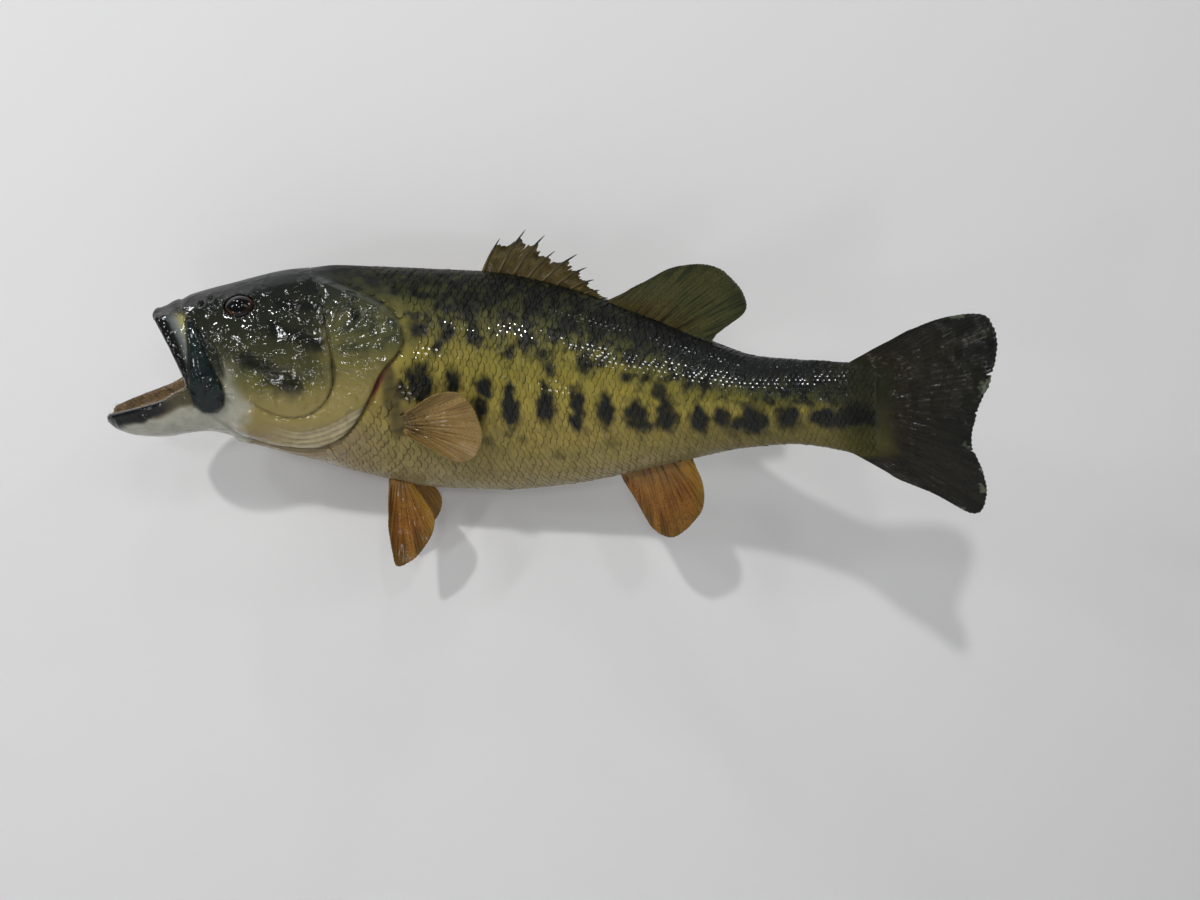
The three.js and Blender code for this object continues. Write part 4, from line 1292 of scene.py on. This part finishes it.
# %% Scales
SPLIT = 262
TILT_SPREAD, SIZE_SPREAD = 0.09, 0.035
UNWRAP = {"from": 60, "length": 430, "low": 110, "width": 220}
scale_total = 0
for side, hand in ((LEFT, "left"), (RIGHT, "right")):
    roots = scale_roots(side)
    for part, chosen in (("fore", roots[:, 0] < SPLIT), ("aft", roots[:, 0] >= SPLIT)):
        s, arc, slope, pitch = roots[chosen].T
        tilt = rng.normal(0, TILT_SPREAD, len(s))
        size = 1 + rng.normal(0, SIZE_SPREAD, len(s))
        along, across, height = disc_shape(pitch, tilt, size)
        there_s = s[:, None] + along
        there_arc = arc[:, None] + across + slope[:, None] * along
        straight = flank_point(there_s, there_arc, side)
        raised = straight + flank_normal(there_s, there_arc, side) * (height - COAT)[..., None]
        places = hang(raised.reshape(-1, 3)).reshape(raised.shape)
        unwrap = [(s - UNWRAP["from"]) / UNWRAP["length"], (arc + UNWRAP["low"]) / UNWRAP["width"]]
        unwrap = np.stack(unwrap, axis=1)
        tone = rng.random(len(s))
        join_discs(f"scales_{hand}_{part}", places, straight, unwrap, tone)
        scale_total += len(s)
print(scale_total, "body scales,", scale_total * len(disc_faces), "triangles")

# %% [markdown]
# ## Fins
# A fin is a fan of bony rays that fork towards the edge, with thin skin between. A flat card with
# a bump map would look painted, so each fin is a closed sheet whose thickness follows the rays:
# full on a ray, thin between, with twice and then four times as many ridges near the ragged edge.

# %% Edges and closed bodies
def blend(t, low, high, a, b):
    return ((high - t) * a + (t - low) * b) / (high - low)


def edge_curve(*corners):
    """A smooth curve through corners, by its share of length. The corners are (x, z) pairs."""
    p = np.array(corners, float)
    p = np.concatenate([[2 * p[0] - p[1]], p, [2 * p[-1] - p[-2]]])
    knots = np.concatenate([[0], np.cumsum(np.linalg.norm(np.diff(p, axis=0), axis=1) ** 0.5)])
    pieces = []
    for i in range(1, len(p) - 2):
        t = np.linspace(knots[i], knots[i + 1], 24, endpoint=False)[:, None]
        k, q = knots[i - 1:i + 3], p[i - 1:i + 3]
        once = [blend(t, k[n], k[n + 1], q[n], q[n + 1]) for n in range(3)]
        twice = [blend(t, k[n], k[n + 2], once[n], once[n + 1]) for n in range(2)]
        pieces.append(blend(t, k[1], k[2], *twice))
    line = np.concatenate([*pieces, [p[-2]]])
    length = np.concatenate([[0], np.cumsum(np.linalg.norm(np.diff(line, axis=0), axis=1))])

    def curve(share):
        reach = np.asarray(share) * length[-1]
        return np.interp(reach, length, line[:, 0]), np.interp(reach, length, line[:, 1])

    return curve


def closed_sheet(near, far):
    """Vertices and quads of the closed body between two grids of points."""
    rows, columns = near.shape[:2]
    number = np.arange(rows * columns).reshape(rows, columns)

    def quads(grid):
        return np.stack([grid[:-1, :-1], grid[1:, :-1], grid[1:, 1:], grid[:-1, 1:]], axis=-1).reshape(-1, 4)

    loop = np.concatenate([number[:-1, 0], number[-1, :-1], number[:0:-1, -1], number[0, :0:-1]])
    after = np.roll(loop, -1)
    shift = rows * columns
    wall = np.stack([loop, loop + shift, after + shift, after], axis=1)
    faces = np.concatenate([quads(number), quads(number + shift)[:, ::-1], wall])
    return np.concatenate([near.reshape(-1, 3), far.reshape(-1, 3)]), faces


def tube_faces(rings, sides, start=0):
    """Quads around a tube of rings, and a face over each end."""
    faces = []
    for ring in range(rings - 1):
        a, b = start + ring * sides, start + (ring + 1) * sides
        faces += [(a + k, b + k, b + (k + 1) % sides, a + (k + 1) % sides) for k in range(sides)]
    last = start + (rings - 1) * sides
    return faces + [tuple(range(start, start + sides)), tuple(last + k for k in reversed(range(sides)))]


print("a box of 3 by 3 points has", len(closed_sheet(np.zeros((3, 3, 3)), np.ones((3, 3, 3)))[1]), "quads")

# %% [markdown]
# The rays fork once at a third of their length and again near the edge. The sheet is thick on a
# ray and thin between two, its root tapers into the body, and noise frays its edge and makes it
# sway. The joints of the rays show as fine ripples.

# %% Fin sheets
def ray_ridges(u, v, rays):
    """Height of the ray ridges, 0 to 1: they fork in two and then in four towards the edge."""
    once, twice, four = (0.5 - 0.5 * np.cos(2 * math.pi * rays * k * u) for k in (1, 2, 4))
    fork = smooth(v, 0.28, 0.5)
    again = smooth(v, 0.62, 0.85)
    return ((once * (1 - fork) + twice * fork) * (1 - again) + four * again) ** 0.7


def rayed_fin(rays, place, thick, fray=0.02, splits=(), rows=44, rib=0.42, wrinkle=0.3, seat=0.0, rise=0.03):
    """A fin as straight-fish points, faces and stored values. place(u, v) gives its middle sheet."""
    across = rays * 16
    u, v = np.meshgrid(np.linspace(0, 1, across + 1), np.linspace(0, 1, rows))
    tip = value_noise(np.stack([u * rays * 1.7, u * 0, u * 0], axis=-1), 1.0, 11)
    tip2 = value_noise(np.stack([u * rays * 5.0, u * 0 + 9, u * 0], axis=-1), 1.0, 12)
    cut = fray * (0.5 - 0.4 * tip - 0.15 * tip2) + 0.006 * (1 - ray_ridges(u, np.ones_like(u), rays))
    for spot, width, deep in splits:
        cut = cut + deep * np.clip(1 - np.abs(u - spot) / width, 0, 1)
    reach = v * (1 - cut)
    ridge = ray_ridges(u, reach, rays)
    centre = place(u, reach)
    ahead, behind = place(np.clip(u + 0.004, 0, 1), reach), place(np.clip(u - 0.004, 0, 1), reach)
    outer, inner = place(u, np.clip(reach + 0.01, 0, 1)), place(u, np.clip(reach - 0.01, 0, 1))
    normal = unit(np.cross(ahead - behind, outer - inner))
    root = thick[0] * (1 - seat * (2 * u - 1) ** 4)
    body = root + (thick[1] - root) * np.sqrt(reach)
    body = body * (1 - rib * smooth(reach, rise, rise + 0.17) * (1 - ridge))
    joints = 1 + 0.10 * np.sin(reach * 150 + 6 * np.floor(u * rays)) * smooth(reach, 0.2, 0.4)
    sway = wrinkle * value_noise(centre, 5.0, 21)
    half = normal * (body * joints / 2)[..., None]
    centre = centre + normal * sway[..., None]
    points, faces = closed_sheet(centre + half, centre - half)
    fibre = 0.5 + 0.7 * value_noise(np.stack([u * rays * 3.1, reach * 2.5, 0 * u], axis=-1), 1.0, 41)
    thread = 0.5 - 0.5 * np.cos(2 * math.pi * rays * 3 * u + 2 * value_noise(centre, 9.0, 43))
    stored = {"ray": ridge, "reach": reach, "turn": u, "fibre": np.clip(fibre, 0, 1), "thread": thread}
    stored = {key: np.tile(values.ravel(), 2) for key, values in stored.items()}
    return points, faces, stored


def add_fin(name, fin, finish):
    points, faces, stored = fin
    piece = make_piece(f"{name}_sheet", hang(points), faces, finish, [name])
    keep_values(piece, points, {**stored, "level": markings(points)["level"]})
    print(piece.name, "has", len(faces), "quads")


print("ridge beside a ray at its root, then past its fork:", ray_ridges(0.25, np.array([0, 0.5]), 1))

# %% [markdown]
# Old skin between the rays dries to a dark film, and the rays show through it paler. The colour
# runs from the root to the edge and to the rear, broken by noise. Where the tail fin grows out of
# the stalk it takes the stalk's colour, and its edge is rubbed pale.

# %% Fin paint
FIN_PAINTS = {  # at the root, over the fin, at the edge, behind, on the rays; film, shine
    # The pectoral fins' dark brown root is partly their colour and partly painted shade where they meet the
    # body.
    "amber_fin": ((72, 51, 27), (130, 103, 57), (126, 101, 55), (134, 106, 56), (168, 140, 86), 0.35, 0.35),
    "rust_fin": ((128, 96, 52), (112, 68, 23), (92, 68, 26), (142, 108, 30), (158, 110, 46), 0.45, 0.35),
    "dark_fin": ((62, 52, 24), (58, 62, 36), (40, 46, 28), (48, 54, 32), (84, 78, 44), 0.5, 0.15),
    "tail_fin": ((46, 34, 22), (29, 28, 22), (21, 24, 22), (30, 29, 23), (44, 41, 31), 0.4, 0.1),
    "web": ((58, 47, 23), (76, 64, 30), (60, 52, 28), (62, 53, 29), (98, 84, 46), 0.3, 0.2),
}


def fin_finish(name):
    root, field, edge, rear, ray_tint, film, shine = FIN_PAINTS[name]
    finish = Finish(f"{name}_paint", Coat_Weight=shine, Coat_Roughness=0.05, Specular_IOR_Level=0.1)
    names = ("lie", "ray", "fibre", "thread", "reach", "turn")
    lie, ray, fibre, thread, reach, turn = (finish.attribute(stored) for stored in names)
    wide, grain = finish.noise(lie, 9.0), finish.noise(lie, 1.2, 4.0)
    finish.colour = finish.mix((reach + (wide - 0.5) * 0.5).step(0.0, 0.5), root, field)
    finish.lay((reach + (wide - 0.5) * 0.35).step(0.62, 0.98), edge)
    finish.lay((turn + (wide - 0.5) * 0.2).step(0.66, 0.94), rear)
    finish.lay((1 - ray.step(0.1, 0.6)) * fibre * film * 1.6, (26, 22, 13))
    finish.lay((1 - fibre) * grain.step(0.3, 0.6) * 0.7, ray_tint)
    thread = thread.step(0.55, 0.95) * wide.step(0.35, 0.55) * (1 - reach.step(0.5, 0.9) * 0.7)
    finish.lay(thread * film, (22, 18, 10))
    if name == "tail_fin":
        stalk = finish.ramp(finish.attribute("level"), *STALK)
        finish.lay(1 - (reach + (wide - 0.5) * 0.1).step(0.18, 0.36), stalk)
        worn = wide.step(0.56, 0.64) * (reach + (grain - 0.5) * 0.1).step(0.9, 0.97)
        finish.lay(worn * 0.8, (100, 106, 88))
    finish.bumps((grain, 0.00008), (finish.noise(lie, 3.5, 1.0), 0.0004))
    return finish.wear(Base_Color=finish.colour, Roughness=(grain * 0.2 + 0.14).held())


fin_paint = {name: fin_finish(name) for name in FIN_PAINTS}
print("fin paints:", ", ".join(fin_paint))

# %% [markdown]
# The soft dorsal, anal and tail fins stand in the fish's middle plane. Each is a sheet between a
# root line sunk in the body and an edge curve, and it sways a little, as dried fins do.

# %% Single fins
SUNK = 1.5


def between(root, edge, sway):
    """A sheet from a root line to an edge curve, both by share u, that sways to one side."""
    def place(u, v):
        x, z = (blend(v, 0, 1, a, b) for a, b in zip(root(u), edge(u)))
        return np.stack([x, sway(u, v), z], axis=-1)

    return place


dorsal_sheet = between(
    lambda u: (296 + 74 * u, back(296 + 74 * u) - SUNK),
    edge_curve(
        (319, 60.5), (333, 66.5), (347, 71.2), (374, 70), (390, 57), (393, 45), (383, 37), (372, 31.5),
    ),
    lambda u, v: 3 * v * v * np.sin(math.pi * u),
)
soft_dorsal = rayed_fin(13, dorsal_sheet, (4.0, 0.8), fray=0.018)
add_fin("soft_dorsal_fin", soft_dorsal, fin_paint["dark_fin"])

anal_sheet = between(
    lambda u: (297 + 53 * u, belly(297 + 53 * u) + SUNK),
    edge_curve(
        (299, -64.5), (308, -78), (320, -95.5), (333, -99), (346, -90.5), (356.5, -78),
        (357.5, -62), (352, -49.5),
    ),
    lambda u, v: -4 * v * v * np.sin(math.pi * u),
)
add_fin("anal_fin", rayed_fin(12, anal_sheet, (4.0, 0.8)), fin_paint["rust_fin"])

tail_sheet = between(
    lambda u: (449 + 11 * np.sin(math.pi * u), 13.5 - 46 * u),
    edge_curve(
        (484, 32), (504, 38.5), (520, 38.3), (525.5, 27), (523.5, 8), (517.5, -11), (515, -24),
        (520.5, -40), (522.5, -51), (516.5, -63), (496, -55), (479, -48),
    ),
    lambda u, v: 3 * v * np.sin(3 * math.pi * u),
)
TAIL_SPLITS = ((0.36, 0.004, 0.05), (0.47, 0.003, 0.03), (0.58, 0.004, 0.04))  # spot, width, depth
tail_fin = rayed_fin(
    18, tail_sheet, (8.5, 0.9), fray=0.022, splits=TAIL_SPLITS, rows=60,
    rib=0.3, wrinkle=0.6, seat=0.7, rise=0.24,
)
add_fin("caudal_fin", tail_fin, fin_paint["tail_fin"])

# %% [markdown]
# The paired fins leave the flank, so their sheets follow it and lift away. The pectoral fin that
# shows stands out stiffly, and the hidden one lies against the body to clear the wall. The pelvic
# fins hang side by side under the belly.

# %% Paired fins
PECTORAL_X, PECTORAL_Z = 150.0, -16.0
pectoral_edge = edge_curve(
    (160, -2), (169, 3), (181, 6.6), (195, 7), (208, -1), (215.5, -16), (215, -27), (208, -35.5),
    (197, -38.5), (184, -35), (170, -28), (160, -23.5),
)


def pectoral_place(side, lift, droop):
    turn = math.radians(droop)
    root_flank = float(flank(PECTORAL_X, PECTORAL_Z))

    def place(u, v):
        edge_x, edge_z = pectoral_edge(u)
        along = blend(v, 0, 1, 2 * u, edge_x - PECTORAL_X)
        rise = blend(v, 0, 1, 12 * (0.5 - u), edge_z - PECTORAL_Z)
        x = PECTORAL_X + along * math.cos(turn) + rise * math.sin(turn)
        z = PECTORAL_Z + rise * math.cos(turn) - along * math.sin(turn)
        here = flank(x, z)
        stand = np.maximum(here, (here + root_flank) / 2) + 2.6 * smooth(v, 0, 0.12) + lift * v ** 1.2
        curl = 1.2 * v * np.sin(math.pi * u)
        return np.stack([x, side * (stand - curl), z], axis=-1)

    return place


def pelvic_place(side, shift, spread):
    edge = edge_curve(
        (141.5, -78), (141.3, -95), (143.5, -112), (146, -121.5), (156, -118), (165, -108), (171, -97),
        (171.5, -86), (167, -77.5),
    )

    def place(u, v):
        x = 143 + 14 * u
        level = 1 - np.minimum(12 / girth(x + shift), 1) ** KEEL
        root_z = middle(x + shift) - (middle(x + shift) - belly(x + shift)) * level ** (1 / KEEL) + 1.0
        edge_x, edge_z = edge(u)
        out = 12 + spread * v + 1.5 * v * np.sin(math.pi * u)
        x, z = blend(v, 0, 1, x, edge_x) + shift, blend(v, 0, 1, root_z, edge_z)
        return np.stack([x, side * out, z], axis=-1)

    return place


for name, place, rays, colour in (
    ("pectoral_fin_left", pectoral_place(LEFT, 13, 0), 14, "amber_fin"),
    ("pectoral_fin_right", pectoral_place(RIGHT, 2.5, 38), 14, "amber_fin"),
    ("pelvic_fin_left", pelvic_place(LEFT, 0, 9), 8, "rust_fin"),
    ("pelvic_fin_right", pelvic_place(RIGHT, 4, 5), 8, "rust_fin"),
):
    add_fin(name, rayed_fin(rays, place, (3.6, 0.7)), fin_paint[colour])

# %% [markdown]
# ## The spiny dorsal fin
# Nine stiff spines lean back along a groove, and the web between them has dried and torn. The
# spines are tapered, slightly curved rods, and the web is a thin wrinkled sheet with scalloped,
# ragged notches. They are two meshes, because bone and web have unlike surfaces. One set of
# curved lines, as many as are wanted between the first spine and the last, carries both.

# %% Spine lines
SPINES = {
    "first": 209, "pitch": 10.3, "lengths": (24, 34, 35, 27, 32, 26, 19, 12, 7),
    "lean": 57, "lean_step": 6.9, "sunk": 1.2, "bow": 0.04,
}


def spine_lean(index):
    return np.radians(SPINES["lean"] - SPINES["lean_step"] * index)


def spine_line(index, share):
    """Points along a spine, or between two spines when index isn't whole."""
    index = np.asarray(index, float)
    length = np.interp(index, range(len(SPINES["lengths"])), SPINES["lengths"])
    lean = spine_lean(index)
    root = SPINES["first"] + SPINES["pitch"] * index
    bow = SPINES["bow"] * np.sin(math.pi * share) * length
    rise = (length + SPINES["sunk"]) * share * np.sin(lean) - SPINES["sunk"]
    x = root + length * share * np.cos(lean) - bow * np.sin(lean)
    z = back(root) + rise + bow * np.cos(lean)
    return np.stack([x, 0 * x, z], axis=-1)


print("the second spine's tip is at station and height", spine_line(1, 1)[[0, 2]].round(1))

# %% [markdown]
# The web is laid out between the spine lines. It stops short of each tip and sags between
# two spines, and noise frays its edge. Every third gap has a tear.

# %% Web
WEB_DEPTH = (0.88, 0.92, 0.9, 0.8, 0.88, 0.86, 0.84, 0.84)
WEB_COLUMNS, WEB_ROWS, WEB_HALF = 26, 26, 0.26


def torn_web():
    gaps = len(WEB_DEPTH)
    spot, v = np.meshgrid(np.linspace(0, gaps, gaps * WEB_COLUMNS + 1), np.linspace(0, 1, WEB_ROWS))
    index = np.minimum(np.floor(spot), gaps - 1).astype(int)
    part = spot - index
    arch = np.sin(math.pi * part)
    deep = 1 - (1 - np.array(WEB_DEPTH)[index]) * arch ** 0.8
    ragged = 0.07 * arch * value_noise(np.stack([spot * 9, spot * 0, spot * 0], axis=-1), 1.0, 31)
    torn = 0.16 * np.clip(1 - np.abs(part - 0.62) / 0.05, 0, 1) * (index % 3 == 1)
    bare = 0.19 + 0.06 * smooth(part, 0.1, 0.9)
    centre = spine_line(spot, v * np.clip(deep - bare + ragged - torn, 0.1, 0.97))
    fold = 0.9 * arch * value_noise(centre, 4.5, 33) + 0.25 * np.sin(part * 40) * v
    centre[..., 1] += fold * (0.3 + v)
    half = np.array([0, WEB_HALF, 0])
    points, faces = closed_sheet(centre + half, centre - half)
    fibre = 0.5 + 0.5 * value_noise(centre, 2.5, 35)
    ray = 0.5 + 0.5 * np.cos(part * 2 * math.pi)
    stored = {"ray": ray, "reach": v, "turn": spot / gaps * 0.7, "fibre": fibre, "thread": 0 * v}
    return points, faces, {key: np.tile(values.ravel(), 2) for key, values in stored.items()}


add_fin("spiny_dorsal_fin", torn_web(), fin_paint["web"])

# %% [markdown]
# The spines are stiff, so they run straight through the web and past its edge. They are pale at the root,
# partly their own colour and partly a painted highlight along the lower part, and nearly black at the tip.

# %% Spines
SPINE_SIDES, RINGS_PER_SPINE = 10, 12


def spine_rods():
    points, faces, sides, rings = [], [], SPINE_SIDES, RINGS_PER_SPINE
    share = np.linspace(0, 1, rings)
    turn = 2 * math.pi * np.arange(sides) / sides
    for index, length in enumerate(SPINES["lengths"]):
        centre = spine_line(np.full(rings, index), share)
        lean = spine_lean(index)
        radius = (1.3 * (length / 34) ** 0.4 * (1 - share) ** 0.6 + 0.12)[:, None]
        out, aside = radius * np.cos(turn), radius * np.sin(turn)
        rim = np.stack([-out * math.sin(lean), aside, out * math.cos(lean)], axis=-1)
        points.append((centre[:, None] + rim).reshape(-1, 3))
        faces += tube_faces(rings, sides, index * rings * sides)
    return np.concatenate(points), faces, np.tile(np.repeat(share, sides), len(SPINES["lengths"]))


def spine_finish():
    finish = Finish("spine_bone", Coat_Weight=0.8, Coat_Roughness=0.08, Specular_IOR_Level=0.2)
    grain = finish.noise(finish.place(), 0.002, 4.0)
    finish.bumps((grain, 0.0003))
    along = finish.attribute("share") + (grain - 0.5) * 0.5
    # Paler towards the root: partly the bone's colour, partly a painted highlight.
    colour = finish.ramp(along, (0.1, (92, 79, 46)), (0.5, (62, 54, 34)), (0.75, (34, 35, 32)))
    return finish.wear(Base_Color=colour, Roughness=(grain * 0.2 + 0.25).held())


rod_points, rod_faces, rod_share = spine_rods()
rods = make_piece("dorsal_spines", hang(rod_points), rod_faces, spine_finish())
keep_values(rods, rod_points, {"share": rod_share})
print("spines:", len(SPINES["lengths"]))

# %% [markdown]
# ## Glass eyes
# A mount's eyes are glass, painted from behind: a black pupil, a dark iris with painted light that makes it
# glow rust-brown on two sides, and a dark rim.
# Each is a ball with a slightly bulged cornea, coloured by distance from where it looks.

# %% Eyes
PUPIL_LEAD, PUPIL = 0.02, 0.66
CORNEA = 0.4


def eye_ball(side):
    rings, sectors = 40, 56
    circle = np.arange(sectors) * 2 * math.pi / sectors
    turn, around = np.meshgrid(np.linspace(0, math.pi, rings), circle, indexing="ij")
    place, ahead, above, gaze = eye_centre()
    across, rise = np.sin(turn) * np.cos(around), np.sin(turn) * np.sin(around)
    out = EYE["deep"] * np.cos(turn) + CORNEA * smooth(np.cos(turn), 0.75, 1.0)
    local = np.stack([EYE["radius"] * across, EYE["tall"] * rise, out], axis=-1)
    points = (local @ np.stack([ahead, above, gaze]) + place) * [1, side, 1]
    points = points[1:-1].reshape(-1, 3)
    faces = tube_faces(rings - 2, sectors)
    if side < 0:
        faces = [face[::-1] for face in faces]
    share = np.where(turn > math.pi / 2, 1.2, np.hypot(across - PUPIL_LEAD, rise * 0.95))
    # Painted light: the two sides where the iris shows rust-brown, as if lit.
    iris_painted_light = np.maximum(bump(around, 3.3, 0.8), bump(around, 5.6, 0.5))
    return points, faces, {"gaze": share[1:-1].ravel(), "iris_painted_light": iris_painted_light[1:-1].ravel()}


def eye_finish():
    finish = Finish("glass_eye_paint", Coat_Weight=0.2, Coat_Roughness=0.01, Roughness=0.03)
    finish.wear(Specular_IOR_Level=0.3)
    gaze, iris_painted_light, where = finish.attribute("gaze"), finish.attribute("iris_painted_light"), finish.place()
    fleck, wide = finish.noise(where, 0.0006, 4.0), finish.noise(where, 0.004, 2.0)
    finish.colour = finish.mix(fleck.step(0.35, 0.7), (16, 9, 6), (70, 40, 20))
    # Painted shade: the iris darkens away from its painted light.
    finish.lay((1.35 - iris_painted_light - wide * 0.6).held(), (14, 10, 8))
    finish.lay(1 - gaze.step(PUPIL, PUPIL + 0.05), (3, 3, 4))
    ring = gaze.step(PUPIL, PUPIL + 0.04) * (1 - gaze.step(PUPIL + 0.06, PUPIL + 0.14))
    # Painted light also on the ring round the pupil.
    finish.lay(ring * iris_painted_light * 0.35, (104, 66, 32))
    finish.lay((gaze + wide * 0.1).step(0.98, 1.1), (8, 8, 8))
    finish.bumps((wide, 0.00002))
    return finish.wear(Base_Color=finish.colour)


eye_paint = eye_finish()
for side, hand in ((LEFT, "left"), (RIGHT, "right")):
    points, faces, looks = eye_ball(side)
    eye = make_piece(f"glass_eye_{hand}", hang(points), faces, eye_paint, [f"eye_{hand}"])
    keep_values(eye, points, looks)
print("the glass is", 2 * EYE["radius"], "mm across, part of it under the lids")

# %% [markdown]
# ## The wood block
# The fish hangs by a block of pine behind its flank, bevelled to hook over a cleat. The grain runs
# along the block. Its edges are eased, and the saw left fine lines on it.

# %% Block
def block_finish():
    finish = Finish("pine", Coat_Weight=0.1, Coat_Roughness=0.4)
    where = finish.place()
    grain = finish.noise(where, 0.006, 5.0, (9, 1, 1))
    pores = finish.noise(where, 0.0011, 3.0, (20, 1, 1))
    rings = finish.node("ShaderNodeTexWave", {"wave_type": "RINGS", "rings_direction": "X"},
                        {"Scale": 42.0, "Distortion": 5.0, "Detail": 3.0, "Vector": where})
    ring = Value(finish, rings.outputs["Fac"])
    finish.colour = finish.mix(ring.step(0.3, 0.9), (206, 170, 118), (166, 122, 74))
    finish.lay(pores.step(0.5, 0.8) * 0.4, (122, 84, 48))
    finish.bumps((grain, 0.0004), (pores, 0.0002))
    return finish.wear(Base_Color=finish.colour, Roughness=(grain * 0.2 + 0.55).held())


def bevelled_block():
    low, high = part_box("mount_block")
    half_height, depth = (high.z - low.z) / 2, high.y - low.y
    profile = [(0, half_height), (0, -half_height), (-depth, depth - half_height), (-depth, half_height)]
    points = np.array([(x, y, z) for x in (low.x, high.x) for y, z in profile])
    faces = [(0, 1, 2, 3), (7, 6, 5, 4)] + [(k, 4 + k, 4 + (k + 1) % 4, (k + 1) % 4) for k in range(4)]
    block = make_piece("cleat_block", points, faces, block_finish(), ["mount_block"])
    block.data.shade_flat()
    ease = block.modifiers.new("eased_edges", "BEVEL")
    ease.width, ease.segments = 1.2 * MM, 3
    return block


block = bevelled_block()
print("block", [round(v, 3) for v in block.dimensions])

# %% [markdown]
# ## Wall and floor
# The fish needs a pale wall to throw its shadow on. The wall has one side only: from behind it
# lets the view through, so the back of the mount can be looked at.

# %% Stage
def pale_finish(name, colour, one_sided):
    finish = Finish(name, Roughness=0.8)
    cloudy = [0.96 * v for v in paint(colour)]
    finish.wear(Base_Color=finish.mix(finish.noise(finish.place(), 0.5), colour, cloudy))
    if one_sided:
        clear = finish.node("ShaderNodeBsdfTransparent")
        backface = Value(finish, finish.node("ShaderNodeNewGeometry").outputs["Backfacing"])
        both = finish.node("ShaderNodeMixShader", None, {0: backface})
        finish.tree.links.new(finish.shader.outputs[0], both.inputs[1])
        finish.tree.links.new(clear.outputs[0], both.inputs[2])
        finish.tree.links.new(both.outputs[0], finish.tree.nodes["Material Output"].inputs["Surface"])
    return finish.material


def stage_plane(name, corners, finish):
    mesh = bpy.data.meshes.new(name)
    mesh.from_pydata(corners, [], [(0, 1, 2, 3)])
    mesh.materials.append(finish)
    plane = bpy.data.objects.new(name, mesh)
    bpy.context.scene.collection.objects.link(plane)
    plane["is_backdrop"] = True
    return plane


FLOOR_Z, WALL_Y = -0.75, 0.0015
wall = stage_plane(
    "wall", [(-4, WALL_Y, FLOOR_Z), (4, WALL_Y, FLOOR_Z), (4, WALL_Y, 4), (-4, WALL_Y, 4)],
    pale_finish("wall_paint", (234, 233, 232), True),
)
wall.visible_shadow = False
stage_plane(
    "floor", [(-4, -5, FLOOR_Z), (4, -5, FLOOR_Z), (4, 5, FLOOR_Z), (-4, 5, FLOOR_Z)],
    pale_finish("floor_paint", (214, 214, 214), False),
)
print("wall", round(WALL_Y / MM, 1), "mm behind the mount's back")

# %% [markdown]
# ## Light
# One small, strong lamp throws the shadow, so its place comes from the way that the shadow falls:
# down and to the tail. A wide lamp fills the dark side. The sparkle lamps are small, because
# varnish shows each lamp as a glint, and weak, so that they add no shadow that is seen.

# %% Lamps
AIM = np.array([0.05, -0.08, 0.0])


def lamp(name, place, size, watts, tint=(1, 1, 1)):
    """An area lamp that faces the fish."""
    light = bpy.data.lights.new(name, "AREA")
    light.shape, light.size, light.energy, light.color = "DISK", size, watts, tint
    stand = bpy.data.objects.new(name, light)
    stand.location = place
    toward = AIM - place
    pan = math.atan2(-toward[0], toward[1])
    tip = math.atan2(math.hypot(toward[0], toward[1]), -toward[2])
    stand.rotation_euler = (tip, 0, pan)
    bpy.context.scene.collection.objects.link(stand)


lamp("key", (-0.9, -2.3, 1.35), 0.12, 21.5)
lamp("fill", (1.2, -1.9, 0.9), 0.8, 3, (1, 0.98, 0.95))
SPARKLES = (  # place, watts
    ((-0.1, -1.8, 0.3), 1.9), ((0.3, -1.6, 0.8), 1.9), ((-1.05, -1.15, 0.65), 1.9),
    ((-0.6, -0.75, 1.5), 1.6), ((-0.85, -0.22, 1.2), 1.1), ((-0.9, -1.3, -0.4), 0.9),
    ((-0.05, -1.6, -0.6), 0.7), ((1.5, -1.0, 1.5), 1.9), ((0.25, -1.5, 1.8), 1.9),
    ((-1.2, -1.1, 0.4), 1.7),
)
for index, (place, watts) in enumerate(SPARKLES):
    lamp(f"sparkle_{index}", place, 0.12, watts, (0.97, 0.98, 1))
lamp("back_fill", (0.2, 1.4, 0.6), 1.5, 5)
world = bpy.data.worlds.new("studio")
world.use_nodes = True
world.node_tree.nodes["Background"].inputs["Color"].default_value = paint((232, 236, 240))
world.node_tree.nodes["Background"].inputs["Strength"].default_value = 0.2
bpy.context.scene.world = world
bpy.context.scene.view_settings.view_transform = "Standard"

# %% [markdown]
# ## The two boxes
# The box of the solid model and the box of what is shown should agree to about a millimetre.

# %% Note both boxes and finish
shown_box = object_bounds()
for label, (low, high) in (("solid model", cad_box), ("shown", shown_box)):
    print(label, "spans", [round(v, 4) for v in high - low])
